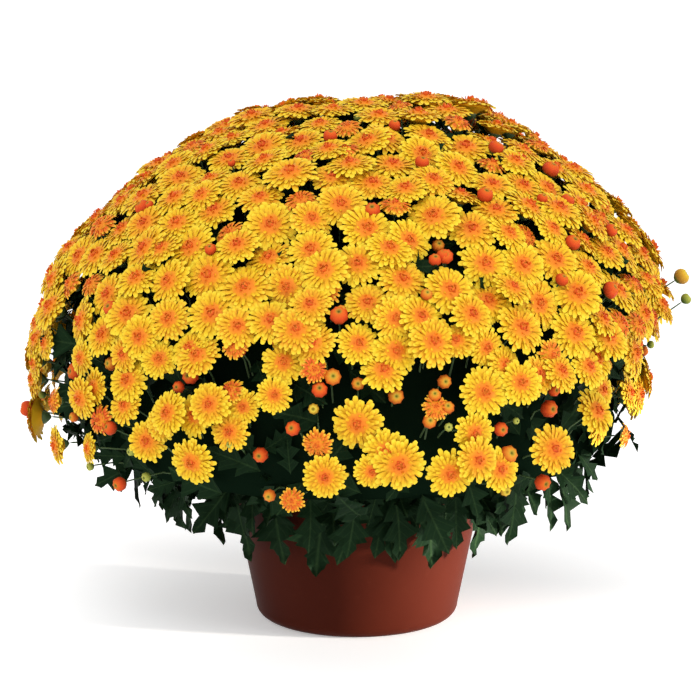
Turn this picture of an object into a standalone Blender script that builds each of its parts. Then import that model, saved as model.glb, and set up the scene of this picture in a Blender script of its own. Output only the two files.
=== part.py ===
"""A pot chrysanthemum: a wide plastic pan of soil, leafy stems, and a dome of golden blooms.

Metres, +Z up. The origin is the middle of the pot's underside and -Y is the plant's front.
The dome is described by directions from DOME_MIDDLE, each with its own reach. Every bloom
keeps to the directions that are nearer to it than to its neighbours, so no two blooms cross.
"""

import heapq
import math

import bmesh
import bpy
import numpy as np
from mathutils import Vector
from mathutils.bvhtree import BVHTree

# The pot, a tapered pan
POT_HEIGHT = 0.150
POT_FOOT = 0.100
POT_MOUTH = 0.130
POT_WALL = 0.0025
POT_EDGE = 0.012
LIP_WIDTH = 0.0035
LIP_HEIGHT = 0.014
ROUND_STEPS = 30
DRAIN_COUNT = 5
DRAIN_RADIUS = 0.005
DRAIN_RING = 0.062

# The soil, and the stems that stand in it
CLEARANCE = 0.0003
SOIL_TOP = 0.134
SOIL_EDGE = 0.004
STEM_RADIUS = 0.0052
STEM_DEPTH = 0.045
STEM_RING = 0.042
STEM_COUNT = 5
STEM_LEAN = 0.030
STEM_TOP = 0.200
STEM_SIDES = 8
FIRST_STEM = 0.4

# The dome of blooms
DOME_MIDDLE = np.array([0.0, 0.0, 0.230])
DOME_SIDE = 0.330
DOME_UP = 0.284
# Swellings and hollows of the dome: azimuth, elevation, spread in degrees, and height
DOME_LUMPS = ((0, 20, 9, 0.010), (-12, 2, 16, -0.045), (14, 0, 18, -0.036), (-34, -4, 18, -0.048),
              (180, 39, 10, -0.008), (-170, -6, 14, -0.022), (172, 14, 10, -0.007), (0, 72, 20, 0.012),
              (115, 30, 18, 0.012), (60, 8, 16, -0.012), (150, 4, 14, 0.010))
# Places with no blooms, where the foliage shows: azimuth, elevation, and radius
DOME_GAPS = ((-166, -3, 0.032), (-48, -4, 0.032), (6, -4, 0.032), (-26, 3, 0.032), (-14, 9, 0.030),
             (2, 9, 0.028), (-150, 14, 0.024), (-32, 15, 0.016), (-52, 7, 0.029), (-108, -4, 0.029),
             (-154, 6, 0.022), (-130, -4, 0.022), (-90, -6, 0.024), (-112, 14, 0.016),
             (-72, 33, 0.022), (-28, 47, 0.014), (-37, 26, 0.015), (-86, 21, 0.010), (-87, 57, 0.010),
             (-87, 43, 0.010), (140, 22, 0.026), (95, 10, 0.028), (62, 30, 0.020), (25, 6, 0.026),
             (110, 45, 0.018), (20, 35, 0.016), (172, 30, 0.014), (80, -4, 0.026), (150, -4, 0.022),
             (45, 60, 0.012), (-170, 55, 0.012), (125, 0, 0.018), (40, -4, 0.020))
# The blooms low in front, as they stand on the real plant: azimuth, elevation, and radius as a
# share of BLOOM_RADIUS
FRONT_BLOOMS = (
    (-116, 6, 0.82), (-116, -1, 0.88), (-125, 1, 0.78), (-110, 4, 0.73), (-103, 10, 0.67), (-108, 8, 0.65),
    (-110, 10, 0.51), (-122, 4, 0.66), (-130, 10, 0.86), (-130, 6, 0.75), (-118, 16, 0.81), (-124, 14, 0.74),
    (-131, 14, 0.69), (-137, 8, 0.72), (-142, 12, 0.71), (-180, 2, 0.84), (-174, 6, 0.76), (-151, -4, 0.78),
    (-138, -2, 0.61), (-95, -2, 0.80), (-96, 3, 0.58), (-100, -6, 0.47), (-102, 15, 0.80), (-97, 18, 0.83),
    (-97, 14, 0.51), (-148, 4, 0.54), (-159, 12, 0.71), (-90, 6, 0.94), (-86, 14, 0.87), (-84, 17, 0.87),
    (-90, 18, 0.80), (-69, 17, 0.73), (-66, 14, 0.73), (-70, 10, 0.91), (-72, 4, 0.80), (-76, -2, 0.87),
    (-68, -2, 0.81), (-58, 0, 0.93), (-37, 0, 0.86), (-5, 0, 0.91), (-39, 7, 0.71), (-19, -6, 0.52),
    (-45, 13, 0.83), (-60, 12, 0.74), (-57, 15, 0.59), (-86, 2, 0.80), (-88, -1, 0.67), (-78, 8, 0.51),
    (-110, 17, 0.51), (-74, 18, 0.73), (-135, 3, 0.57),
)
# Buds there: azimuth, elevation, and how far each stands out of the dome
FRONT_BUDS = (
    (-118, 12, 0), (-120, 10, 0), (-122, 8, 0), (-104, 19, 0), (-96, 11, 0), (-94, 13, 0), (-97, 8, 0),
    (-100, 5, 0), (-133, 2, 0), (-131, -2, 0), (-132, -4, 0), (-141, -6, 0), (-134, -8, 0), (-134, -10, 0),
    (-128, -6, 0), (-104, -6, 0), (-144, 2, 0), (-148, 9, 0), (-183, -4, 0.014), (-136, 12, 0),
    (-110, 1, 0), (-84, 10, 0), (-90, 12, 0), (-78, 17, 0), (-76, 12, 0), (-76, 8, 0), (-79, 6, 0),
    (-78, 10, 0), (-83, 8, 0), (-76, 4, 0), (-82, -3, 0), (-84, -4, 0), (-67, 4, 0), (-56, 6, 0),
    (-57, 4, 0), (-55, 9, 0), (-58, -6, 0), (-57, -8, 0), (-66, -6, 0), (-64, 5, 0), (-1, 9, 0.008),
    (-12, 12, 0), (-2, 20, 0.031), (-2, 18, 0.033), (-36, 11, 0), (-106, 0, 0),
)
# Up to where the front has those only: an elevation at its sides, and how much more in its middle
FRONT_TOP = (10, 7)
LOWEST_BLOOM = -6.0
# A small unevenness all over the dome: its height, and how often it rises along each axis
RIPPLE = 0.005
RIPPLE_RATES = np.array([9, 8, 7])
RIPPLE_STARTS = np.array([1, -2, math.pi / 2])

# How the blooms are thrown at the dome and pushed apart; shares are of the spacing or of a push
SEED = 41
BLOOM_SPACING = 0.0354
DART_COUNT = 16000
DART_SPACING = 0.84
PUSH_ROUNDS = 8
PUSH_REACH = 1.12
PUSH_SHARE = 0.28
PUSH_MOST = 0.5
GAP_PUSH = 0.6
GAP_MARGIN = 0.50
DEPTH_RANGE = (-0.004, 0.003)
AXIS_WANDER = 0.14
AXIS_RISE = 0.06

# The blooms; sizes after the first are shares of a bloom's radius
BLOOM_RADIUS = 0.0240
OPEN_SIZES = (0.84, 1.06)
HALF_OPEN_SIZES = (0.52, 0.66)
HALF_OPEN_BELOW = 0.6
HALF_OPEN_SHARE = 0.12
BLOOM_PETALS = 5
BLOOM_LIFT = 0.32
HALF_OPEN_LIFT = 0.66
BLOOM_DEPTH = 0.55
TIP_DROP = 0.08
NOTCH_DROP = 0.23
NOTCH_REACH = 0.74
NOTCH_ROOM = 0.86
CELL_GAP = 0.0004
# How far apart, as unit directions, blooms and buds still limit a bloom's cell
NEAR_BLOOMS = 0.36
NEAR_BUDS = 0.2

# The sprays the blooms are shared out to
SPRAY_COUNT = 30
LONGEST_LINK = 0.074

# The buds and the stalks
BUD_COUNT = 48
BUD_RADIUS = 0.0062
BUD_SIDES = 4
BUD_TRIES = 30000
BUD_ROOM = 0.0222
BUD_ROOM_IN_GAP = 0.0215
BUD_FROM_LINKS = 0.0150
BUD_SPACING = 2.4 * BUD_RADIUS
BUD_DEPTH = 0.006
BUD_DEPTH_IN_GAP = 0.014
BUD_NECK = 1.7 * BUD_RADIUS
BUD_BELLY = 0.75 * BUD_RADIUS
LOWEST_BUD = -10.0
GAP_BORDER = 0.008
STALK_RADIUS = 0.0019
STALK_FOOT = 1.3 * STALK_RADIUS
STALK_TOP = 0.5 * STALK_RADIUS
STALK_SIDES = 3
# Every bloom less than this many degrees above the lowest has a stalk of its own
STALK_BAND = 1.0

# The leafy middle of the bush, and its leaves
CORE_SIDE = 0.294
CORE_UP = 0.244
CORE_DOWN = 0.074
CORE_SQUARE = 3.2
CORE_ROUGH = 0.009
CORE_BUMP = 0.4 * CORE_ROUGH
CORE_PART = 0.4
# Below this height on the unit ball the leafy middle is smooth
SMOOTH_BELOW = -0.2
ROOT_SUNK = 0.004
LEAF_TRIES = 8
LEAF_LENGTH = 0.064
LEAF_SHAPE = 0.74
LEAF_DROOP = 0.10
LEAF_THICK = 0.0009
LEAF_FOLD = 0.22
# Half of a leaf's edge: lobe tips and the notches between, as shares of its length and half width
LEAF_EDGE = ((0.36, 0.80), (0.42, 0.36), (0.70, 0.92), (0.75, 0.34))
# Rings of leaves under the dome: how many, distance out, slope down in degrees, and length
SKIRT_RINGS = ((17, 0.262, 34, 0.066), (14, 0.212, 48, 0.070), (12, 0.141, 76, 0.092))
SKIRT_TURN = 0.12
SKIRT_LEAN = 9
SKIRT_SWING = 0.25
SKIRT_SIZES = (0.88, 1.1)
# Leaves in the gaps: one for each of these widths that the gap passes
GAP_STEPS = (0.0135, 0.021, 0.031)
GAP_LEAF_APART = 2.3
GAP_LEAF_TURN = 0.5
GAP_LEAF_RISE = (0.12, 0.27)
GAP_LEAF_BACK = (0.012, 0.028)
GAP_LEAF_SIZES = (0.85, 1.05)

# Colours, and how rough each surface is
POT_LOOK = ((0.16, 0.055, 0.035), 0.5)
SOIL_LOOK = ((0.045, 0.03, 0.02), 0.95)
PETAL_LOOK = ((0.95, 0.62, 0.02), 0.5)
LEAF_LOOK = ((0.03, 0.075, 0.035), 0.55)


def clear_scene():
    """Remove every object, so that the script can be run again."""
    for item in list(bpy.data.objects):
        bpy.data.objects.remove(item, do_unlink=True)


def make_collection(name):
    """Return an empty collection linked to the scene."""
    group = bpy.data.collections.get(name) or bpy.data.collections.new(name)
    if name not in bpy.context.scene.collection.children:
        bpy.context.scene.collection.children.link(group)
    return group


def make_material(name, colour, roughness):
    """A Principled material of one colour."""
    material = bpy.data.materials.new(name)
    material.use_nodes = True
    shader = material.node_tree.nodes["Principled BSDF"]
    shader.inputs["Base Color"].default_value = (*colour, 1.0)
    shader.inputs["Roughness"].default_value = roughness
    shader.inputs["Metallic"].default_value = 0.0
    material.diffuse_color = (*colour, 1.0)
    return material


def add_object(name, mesh, group, material=None):
    """Put a mesh into the scene under a name."""
    item = bpy.data.objects.new(name, mesh)
    group.objects.link(item)
    if material is not None:
        mesh.materials.append(material)
    return item


def mesh_from(name, points, faces):
    """A closed mesh from points and faces, with its faces turned outwards."""
    mesh = bpy.data.meshes.new(name)
    mesh.from_pydata([tuple(p) for p in points], [], faces)
    build = bmesh.new()
    build.from_mesh(mesh)
    bmesh.ops.recalc_face_normals(build, faces=build.faces[:])
    bmesh.ops.triangulate(build, faces=build.faces[:])
    build.to_mesh(mesh)
    build.free()
    return mesh


def bake(item, group, name, material):
    """Turn an object with modifiers into a plain one under a new name."""
    graph = bpy.context.evaluated_depsgraph_get()
    mesh = bpy.data.meshes.new_from_object(item.evaluated_get(graph))
    mesh.name = name
    mesh.materials.clear()
    mesh.transform(item.matrix_world)
    bpy.data.objects.remove(item, do_unlink=True)
    return add_object(name, mesh, group, material)


def turned(name, profile, group):
    """Turn a closed profile, from the axis over the top and down the outside, into a solid."""
    mesh = bpy.data.meshes.new(name)
    edges = [(k, k + 1) for k in range(len(profile) - 1)]
    mesh.from_pydata([(r, 0.0, z) for r, z in profile], edges, [])
    item = add_object(name, mesh, group)
    screw = item.modifiers.new("Turn", "SCREW")
    screw.axis = "Z"
    screw.steps = ROUND_STEPS
    screw.render_steps = ROUND_STEPS
    screw.use_merge_vertices = True
    screw.merge_threshold = 0.00005
    screw.use_normal_calculate = True
    return item


def rod_mesh(start, end, radius_start, radius_end, sides):
    """A straight round bar from one point to another, which may taper."""
    start, end = Vector(start), Vector(end)
    build = bmesh.new()
    bmesh.ops.create_cone(build, cap_ends=True, segments=sides, radius1=radius_start,
                          radius2=radius_end, depth=(end - start).length)
    turn = Vector((0.0, 0.0, 1.0)).rotation_difference(end - start).to_matrix().to_4x4()
    turn.translation = (start + end) / 2
    bmesh.ops.transform(build, matrix=turn, verts=build.verts[:])
    mesh = bpy.data.meshes.new("rod")
    build.to_mesh(mesh)
    build.free()
    return mesh


def combine(item, group, operation, solver="EXACT"):
    """Add a Boolean of a whole collection to an object."""
    join = item.modifiers.new("Combine", "BOOLEAN")
    join.operation = operation
    join.solver = solver
    join.operand_type = "COLLECTION"
    join.collection = group
    return join


def empty_collection(group):
    """Remove a collection together with the objects in it."""
    for item in list(group.objects):
        bpy.data.objects.remove(item, do_unlink=True)
    bpy.data.collections.remove(group)


def wall_radius(z):
    """Outer radius of the pot's tapered wall at a height."""
    return POT_FOOT + (POT_MOUTH - POT_FOOT) * z / POT_HEIGHT


def pot_profile():
    """The pot's section, from the middle of its floor over the rim to the middle of its underside."""
    inner_edge = POT_EDGE - POT_WALL
    lip_foot = POT_HEIGHT - LIP_HEIGHT
    inside = [(0.0, POT_WALL), (POT_FOOT - POT_EDGE, POT_WALL),
              (wall_radius(POT_EDGE) - POT_WALL - 0.3 * inner_edge, POT_WALL + 0.3 * inner_edge),
              (wall_radius(POT_EDGE) - POT_WALL, POT_EDGE), (POT_MOUTH - POT_WALL, POT_HEIGHT)]
    lip = [(POT_MOUTH + LIP_WIDTH, POT_HEIGHT), (POT_MOUTH + LIP_WIDTH, lip_foot),
           (wall_radius(lip_foot), lip_foot)]
    middle = wall_radius(POT_EDGE) - POT_EDGE
    curve = [(middle + POT_EDGE * math.cos(turn), POT_EDGE - POT_EDGE * math.sin(turn))
             for turn in np.linspace(0.0, math.pi / 2, 4)]
    return inside + lip + curve + [(0.0, 0.0)]


def build_pot(group, cutters, material):
    """The pan, turned in one piece, with drain holes through its floor."""
    pot = turned("pot_turned", pot_profile(), group)
    for k in range(DRAIN_COUNT):
        turn = 2 * math.pi * (k + 0.5) / DRAIN_COUNT
        x, y = DRAIN_RING * math.cos(turn), DRAIN_RING * math.sin(turn)
        mesh = rod_mesh((x, y, -POT_WALL), (x, y, 2 * POT_WALL), DRAIN_RADIUS, DRAIN_RADIUS, 6)
        hole = add_object(f"drain_cutter_{k + 1}", mesh, cutters)
        hole.hide_render = True
        hole.display_type = "WIRE"
    combine(pot, cutters, "DIFFERENCE")
    return bake(pot, group, "pot", material)


def stem_lines():
    """The foot and the top of each main stem's middle line."""
    lines = []
    foot_z = SOIL_TOP - STEM_DEPTH
    for k in range(STEM_COUNT):
        turn = 2 * math.pi * k / STEM_COUNT + FIRST_STEM
        out = np.array([math.cos(turn), math.sin(turn), 0.0])
        foot = STEM_RING * out + (0, 0, foot_z)
        top = (STEM_RING + STEM_LEAN) * out + (0, 0, STEM_TOP)
        lines.append((foot, top))
    return lines


def build_soil(group, material):
    """The soil that fills the pot, with a plain hole for each stem."""
    foot_z = POT_WALL + CLEARANCE
    edge_r = wall_radius(POT_EDGE) - POT_WALL - 2 * CLEARANCE
    profile = [(0.0, SOIL_TOP), (wall_radius(SOIL_TOP) - POT_WALL - 2 * CLEARANCE, SOIL_TOP),
               (edge_r, POT_EDGE + 2 * CLEARANCE), (POT_FOOT - POT_EDGE - SOIL_EDGE, foot_z), (0.0, foot_z)]
    soil = turned("soil_turned", profile, group)
    holes = make_collection("stem_holes")
    for foot, top in stem_lines():
        along = (top - foot) / np.linalg.norm(top - foot)
        mesh = rod_mesh(foot - CLEARANCE * along, top, STEM_RADIUS + CLEARANCE,
                        STEM_RADIUS + CLEARANCE, STEM_SIDES)
        add_object("stem_hole", mesh, holes)
    combine(soil, holes, "DIFFERENCE")
    soil = bake(soil, group, "soil", material)
    empty_collection(holes)
    return soil


def direction(azimuth, elevation):
    """The unit vector of an azimuth and an elevation in degrees."""
    a, e = math.radians(azimuth), math.radians(elevation)
    return np.array([math.cos(e) * math.cos(a), math.cos(e) * math.sin(a), math.sin(e)])


def dome_reach(ways):
    """How far the faces of the blooms lie from the dome's middle along each unit vector."""
    flat = ways[:, 0] ** 2 + ways[:, 1] ** 2
    reach = 1 / np.sqrt(flat / DOME_SIDE ** 2 + ways[:, 2] ** 2 / DOME_UP ** 2)
    for azimuth, elevation, spread, height in DOME_LUMPS:
        away = np.degrees(np.arccos(np.clip(ways @ direction(azimuth, elevation), -1, 1)))
        reach = reach + height * np.exp(-(away / spread) ** 2)
    return reach + RIPPLE * np.sin(ways * RIPPLE_RATES + RIPPLE_STARTS).prod(axis=1)


def on_dome(ways):
    """Points on the dome along unit vectors."""
    return DOME_MIDDLE + ways * dome_reach(ways)[:, None]


def throw_dart(rng, floor):
    """A random direction above the plane whose height on the unit ball is given."""
    turn, z = rng.uniform(0, 2 * math.pi), rng.uniform(floor, 1)
    flat = math.sqrt(1 - z * z)
    return np.array([[flat * math.cos(turn), flat * math.sin(turn), z]])


def low_in_front(way):
    """Whether a unit vector lies low in front, where the blooms are given one by one."""
    top = FRONT_TOP[0] - FRONT_TOP[1] * way[1]
    return way[1] < 0 and way[2] < math.sin(math.radians(top))


def scatter_blooms(rng):
    """Directions of the blooms: the given ones, and darts that are then pushed apart."""
    gaps = on_dome(np.array([direction(a, e) for a, e, _ in DOME_GAPS]))
    gap_sizes = np.array([size for _, _, size in DOME_GAPS]) + GAP_MARGIN * BLOOM_RADIUS
    floor = math.sin(math.radians(LOWEST_BLOOM))
    given = np.array([direction(a, e) for a, e, _ in FRONT_BLOOMS])
    kept = on_dome(given)
    for _ in range(DART_COUNT):
        way = throw_dart(rng, floor)
        place = on_dome(way)
        if low_in_front(way[0]) or np.any(np.linalg.norm(gaps - place, axis=1) < gap_sizes):
            continue
        if np.all(np.linalg.norm(kept - place, axis=1) > DART_SPACING * BLOOM_SPACING):
            kept = np.vstack([kept, place])
    for _ in range(PUSH_ROUNDS):
        apart = kept[:, None] - kept[None]
        far = np.linalg.norm(apart, axis=2) + np.eye(len(kept))
        push = np.clip(PUSH_REACH * BLOOM_SPACING / far - 1, 0, PUSH_MOST) * PUSH_SHARE
        kept = kept + (apart * (push * (1 - np.eye(len(kept))))[:, :, None]).sum(axis=1)
        for gap, size in zip(gaps, gap_sizes):
            away = kept - gap
            far = np.linalg.norm(away, axis=1)
            kept = kept + away * (np.clip(size / far - 1, 0, 1) * GAP_PUSH)[:, None]
        ways = kept - DOME_MIDDLE
        ways /= np.linalg.norm(ways, axis=1)[:, None]
        ways[:, 2] = np.maximum(ways[:, 2], floor)
        ways /= np.linalg.norm(ways, axis=1)[:, None]
        ways[:len(given)] = given
        kept = on_dome(ways)
    return ways


def bloom_frames(ways, rng):
    """Each bloom's middle, outward axis, radius and turn."""
    count = len(ways)
    places = on_dome(ways) + ways * rng.uniform(*DEPTH_RANGE, count)[:, None]
    squash = np.array([1 / DOME_SIDE ** 2, 1 / DOME_SIDE ** 2, 1 / DOME_UP ** 2])
    axes = ways * squash
    axes /= np.linalg.norm(axes, axis=1)[:, None]
    axes += rng.normal(0, AXIS_WANDER, (count, 3)) + np.array([0, 0, AXIS_RISE])
    axes /= np.linalg.norm(axes, axis=1)[:, None]
    half_open = rng.random(count) < HALF_OPEN_SHARE
    small, full = rng.uniform(*HALF_OPEN_SIZES, count), rng.uniform(*OPEN_SIZES, count)
    radii = BLOOM_RADIUS * np.where(half_open, small, full)
    given = np.array([size for _, _, size in FRONT_BLOOMS])
    radii[:len(given)] = BLOOM_RADIUS * given
    half_open[:len(given)] = given < HALF_OPEN_BELOW
    return places, axes, radii, half_open, rng.uniform(0, 2 * math.pi, count)


def near_links(places):
    """Pairs of neighbouring blooms with no third bloom nearer to both."""
    far = np.linalg.norm(places[:, None] - places[None], axis=2)
    links = []
    for a in range(len(places)):
        for b in np.nonzero(far[a] < LONGEST_LINK)[0]:
            if b > a and not np.any(np.maximum(far[a], far[b]) < far[a, b] - 1e-9):
                links.append((a, int(b), far[a, b]))
    return links


def grow_sprays(places, links):
    """Share the blooms out to sprays: each bloom joins the head that is nearest along the links."""
    beside = {k: [] for k in range(len(places))}
    for a, b, length in links:
        beside[a].append((length, b))
        beside[b].append((length, a))
    heads = [0]
    while len(heads) < SPRAY_COUNT:
        far = np.min(np.linalg.norm(places[:, None] - places[heads][None], axis=2), axis=1)
        heads.append(int(np.argmax(far)))
    spray, parent = {}, {}
    queue = [(0.0, head, k, -1) for k, head in enumerate(heads)]
    while len(spray) < len(places):
        if not queue:
            head = next(k for k in range(len(places)) if k not in spray)
            queue.append((0.0, head, max(spray.values()) + 1, -1))
        length, bloom, k, source = heapq.heappop(queue)
        if bloom in spray:
            continue
        spray[bloom], parent[bloom] = k, source
        for step, other in beside[bloom]:
            heapq.heappush(queue, (length + step, other, k, bloom))
    return spray, parent


def side_axes(axis):
    """Two unit vectors square to an axis and to each other."""
    first = np.cross(axis, (0.3, 0.9, 0.1))
    first /= np.linalg.norm(first)
    return first, np.cross(axis, first)


def scatter_buds(rng, ways, places, parent):
    """Tips of the buds: the given ones that have room, then others in gaps and between blooms."""
    gaps = on_dome(np.array([direction(a, e) for a, e, _ in DOME_GAPS]))
    sizes = np.array([size for _, _, size in DOME_GAPS])
    links = [(places[b], places[a]) for b, a in parent.items() if a >= 0]
    starts, ends = np.array([s for s, _ in links]), np.array([e for _, e in links])
    floor = math.sin(math.radians(LOWEST_BUD))
    buds, sunk, along = np.empty((0, 3)), [], ends - starts
    for k in range(BUD_TRIES):
        if len(buds) == BUD_COUNT:
            break
        given = k < len(FRONT_BUDS)
        way = direction(*FRONT_BUDS[k][:2]) if given else throw_dart(rng, floor)[0]
        place = on_dome(way[None])[0]
        in_gap = np.any(np.linalg.norm(gaps - place, axis=1) < sizes + GAP_BORDER)
        part = np.clip(((place - starts) * along).sum(1) / (along ** 2).sum(1), 0, 1)
        from_links = np.linalg.norm(starts + along * part[:, None] - place, axis=1).min()
        from_blooms = np.linalg.norm(places - place, axis=1).min()
        room = BUD_ROOM_IN_GAP if in_gap else BUD_ROOM
        if from_blooms < room or from_links < BUD_FROM_LINKS or low_in_front(way) and not given:
            continue
        if len(buds) and np.linalg.norm(buds - place, axis=1).min() < BUD_SPACING:
            continue
        buds = np.vstack([buds, place])
        depth = rng.uniform(0, BUD_DEPTH_IN_GAP if in_gap else BUD_DEPTH)
        sunk.append(-FRONT_BUDS[k][2] if given and FRONT_BUDS[k][2] > 0 else depth)
    ways = buds - DOME_MIDDLE
    ways /= np.linalg.norm(ways, axis=1)[:, None]
    return buds - ways * np.array(sunk)[:, None], ways


def cell_walls(k, ways, buds, bud_ways):
    """Planes between a bloom and its neighbours, as outward normals and how far out each lies."""
    near = np.linalg.norm(ways - ways[k], axis=1) < NEAR_BLOOMS
    near[k] = False
    to_blooms = ways[near] - ways[k]
    to_blooms /= np.linalg.norm(to_blooms, axis=1)[:, None]
    close = np.linalg.norm(bud_ways - ways[k], axis=1) < NEAR_BUDS
    to_buds = bud_ways[close] - ways[k]
    to_buds /= np.linalg.norm(to_buds, axis=1)[:, None]
    bud_walls = ((buds[close] - DOME_MIDDLE) * to_buds).sum(axis=1) - BUD_RADIUS - 2 * CELL_GAP
    walls = np.concatenate([np.full(len(to_blooms), -CELL_GAP), bud_walls])
    return np.vstack([to_blooms, to_buds]), walls


def bloom_points(k, frames, turn, walls):
    """One bloom's points: its crown, its foot, and a rim of petal tips and the notches between."""
    places, axes, radii, half_open, _ = frames
    axis, radius = axes[k], radii[k]
    first, second = side_axes(axis)
    lift = HALF_OPEN_LIFT if half_open[k] else BLOOM_LIFT
    points = [places[k] + lift * radius * axis, places[k] - BLOOM_DEPTH * radius * axis]
    normals, limits = walls
    for step in range(2 * BLOOM_PETALS):
        angle = turn + math.pi * step / BLOOM_PETALS
        way = math.cos(angle) * first + math.sin(angle) * second
        drop, share, room_share = (NOTCH_DROP, NOTCH_REACH, NOTCH_ROOM) if step % 2 else (TIP_DROP, 1.0, 1.0)
        start = places[k] - drop * radius * axis
        slope = normals @ way
        room = limits - normals @ (start - DOME_MIDDLE)
        reach = np.where(slope > 1e-6, room / np.maximum(slope, 1e-6), 1.0).min()
        points.append(start + min(share * radius, room_share * reach) * way)
    return points


def nearest_petal(points, target, used):
    """The half petal of a bloom that points best at a target and is still free."""
    crown, foot, rim = points[0], points[1], points[2:]
    axis = (crown - foot) / np.linalg.norm(crown - foot)
    aim = target - foot
    aim = aim - axis * (aim @ axis)
    best, found = -2.0, 0
    for step in range(len(rim)):
        middle = (rim[step] + rim[(step + 1) % len(rim)]) / 2 - foot
        middle = middle - axis * (middle @ axis)
        match = (middle @ aim) / (np.linalg.norm(middle) * np.linalg.norm(aim))
        if step not in used and match > best:
            best, found = match, step
    return found


def spray_mesh(name, members, parent, frames, ways, buds, bud_ways):
    """One spray: its blooms, each joined to the bloom before it where two petals meet."""
    places, axes, _, _, turns = frames
    rim_size = 2 * BLOOM_PETALS
    points, faces, first, used, shapes = [], {}, {}, {}, {}
    for k in members:
        turn = turns[k]
        if parent[k] >= 0:
            one, two = side_axes(axes[k])
            aim = places[parent[k]] - places[k]
            turn = math.atan2(aim @ two, aim @ one) - math.pi / (2 * BLOOM_PETALS)
        shapes[k] = bloom_points(k, frames, turn, cell_walls(k, ways, buds, bud_ways))
        first[k], used[k] = len(points), set()
        points.extend(shapes[k])
        for step in range(rim_size):
            a, b = first[k] + 2 + step, first[k] + 2 + (step + 1) % rim_size
            faces[k, step, "top"] = (first[k], a, b)
            faces[k, step, "under"] = (first[k] + 1, b, a)
    bridges = []
    for k in members:
        if parent[k] < 0:
            continue
        ends = []
        for here, there in ((k, parent[k]), (parent[k], k)):
            step = nearest_petal(shapes[here], places[there], used[here])
            used[here].add(step)
            del faces[here, step, "under"]
            a, b = first[here] + 2 + step, first[here] + 2 + (step + 1) % rim_size
            ends.append((first[here] + 1, a, b))
        (foot_a, a, b), (foot_b, c, d) = ends
        bridges += [(a, b, c, d), (foot_a, foot_b, c, b), (foot_a, a, d, foot_b)]
    return mesh_from(name, points, list(faces.values()) + bridges)


def build_sprays(group, material, plan):
    """Every spray of blooms, in a node of its own."""
    ways, frames, spray, parent, buds, bud_ways = plan
    for number in range(max(spray.values()) + 1):
        members = [k for k in range(len(ways)) if spray[k] == number]
        name = f"spray_{number + 1:02d}"
        mesh = spray_mesh(name, members, parent, frames, ways, buds, bud_ways)
        add_object(name, mesh, group, material)


def core_reach(ways):
    """How far the leafy middle reaches from the dome's middle, with a flatter underside."""
    flat = np.hypot(ways[:, 0], ways[:, 1])
    height = np.where(ways[:, 2] > 0, CORE_UP, CORE_DOWN)
    power = np.where(ways[:, 2] > 0, 2.0, CORE_SQUARE)
    sides = (flat / CORE_SIDE) ** power + (np.abs(ways[:, 2]) / height) ** power
    lumps = dome_reach(ways) - 1 / np.sqrt(flat ** 2 / DOME_SIDE ** 2 + ways[:, 2] ** 2 / DOME_UP ** 2)
    return sides ** (-1 / power) + lumps * np.clip(1 + 4 * ways[:, 2], 0, 1)


def core_mesh(rng):
    """The dense middle of the bush, a rough mass which leaves, stalks and buds stand out of."""
    build = bmesh.new()
    bmesh.ops.create_icosphere(build, subdivisions=2, radius=1.0)
    ways = np.array([tuple(v.co) for v in build.verts])
    ways /= np.linalg.norm(ways, axis=1)[:, None]
    rough = rng.uniform(-CORE_ROUGH, CORE_BUMP, len(ways)) * (ways[:, 2] > SMOOTH_BELOW)
    places = DOME_MIDDLE + ways * (core_reach(ways) + rough)[:, None]
    for vert, place in zip(build.verts, places):
        vert.co = place
    mesh = bpy.data.meshes.new("core")
    build.to_mesh(mesh)
    build.free()
    return mesh


def leaf_mesh(root, out, up, length, width):
    """A lobed blade: five pointed lobes round a rib, folded a little and bending down to its tip."""
    outline = [(0.0, 0.0), *LEAF_EDGE, (1.0, 0.0)] + [(x, -y) for x, y in reversed(LEAF_EDGE)]
    aside = np.cross(up, out)
    points = []
    for depth in (0.0, LEAF_THICK):
        for x, y in outline + [(0.5, 0.0)]:
            rise = LEAF_FOLD * abs(y) * width / 2 - LEAF_DROOP * length * x * x - depth
            points.append(root + length * x * out + width / 2 * y * aside + rise * up)
    count = len(outline)
    middle, low = count, count + 1
    faces = []
    for k in range(count):
        after = (k + 1) % count
        faces.append((middle, k, after))
        faces.append((middle + low, low + after, low + k))
        faces.append((k, low + k, low + after))
        faces.append((k, low + after, after))
    return mesh_from("leaf", points, faces)


def tree_of(mesh):
    """A search tree of a mesh's faces."""
    return BVHTree.FromPolygons([v.co for v in mesh.vertices], [tuple(f.vertices) for f in mesh.polygons])


def add_leaf(group, taken, core, draw):
    """Add a leaf that crosses nothing but the leafy middle, or none if every draw crosses."""
    for _ in range(LEAF_TRIES):
        root, out, up, length = draw()
        inner = DOME_MIDDLE + CORE_PART * (root - DOME_MIDDLE)
        way = root - inner
        hit = core.ray_cast(Vector(inner), Vector(way / np.linalg.norm(way)))[0]
        if hit is None:
            continue
        mesh = leaf_mesh(np.array(hit) - ROOT_SUNK * out, out, up, length, length * LEAF_SHAPE)
        tree = tree_of(mesh)
        if not any(tree.overlap(other) for other in taken):
            taken.append(tree)
            add_object("leaf", mesh, group)
            return
        bpy.data.meshes.remove(mesh)


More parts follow.
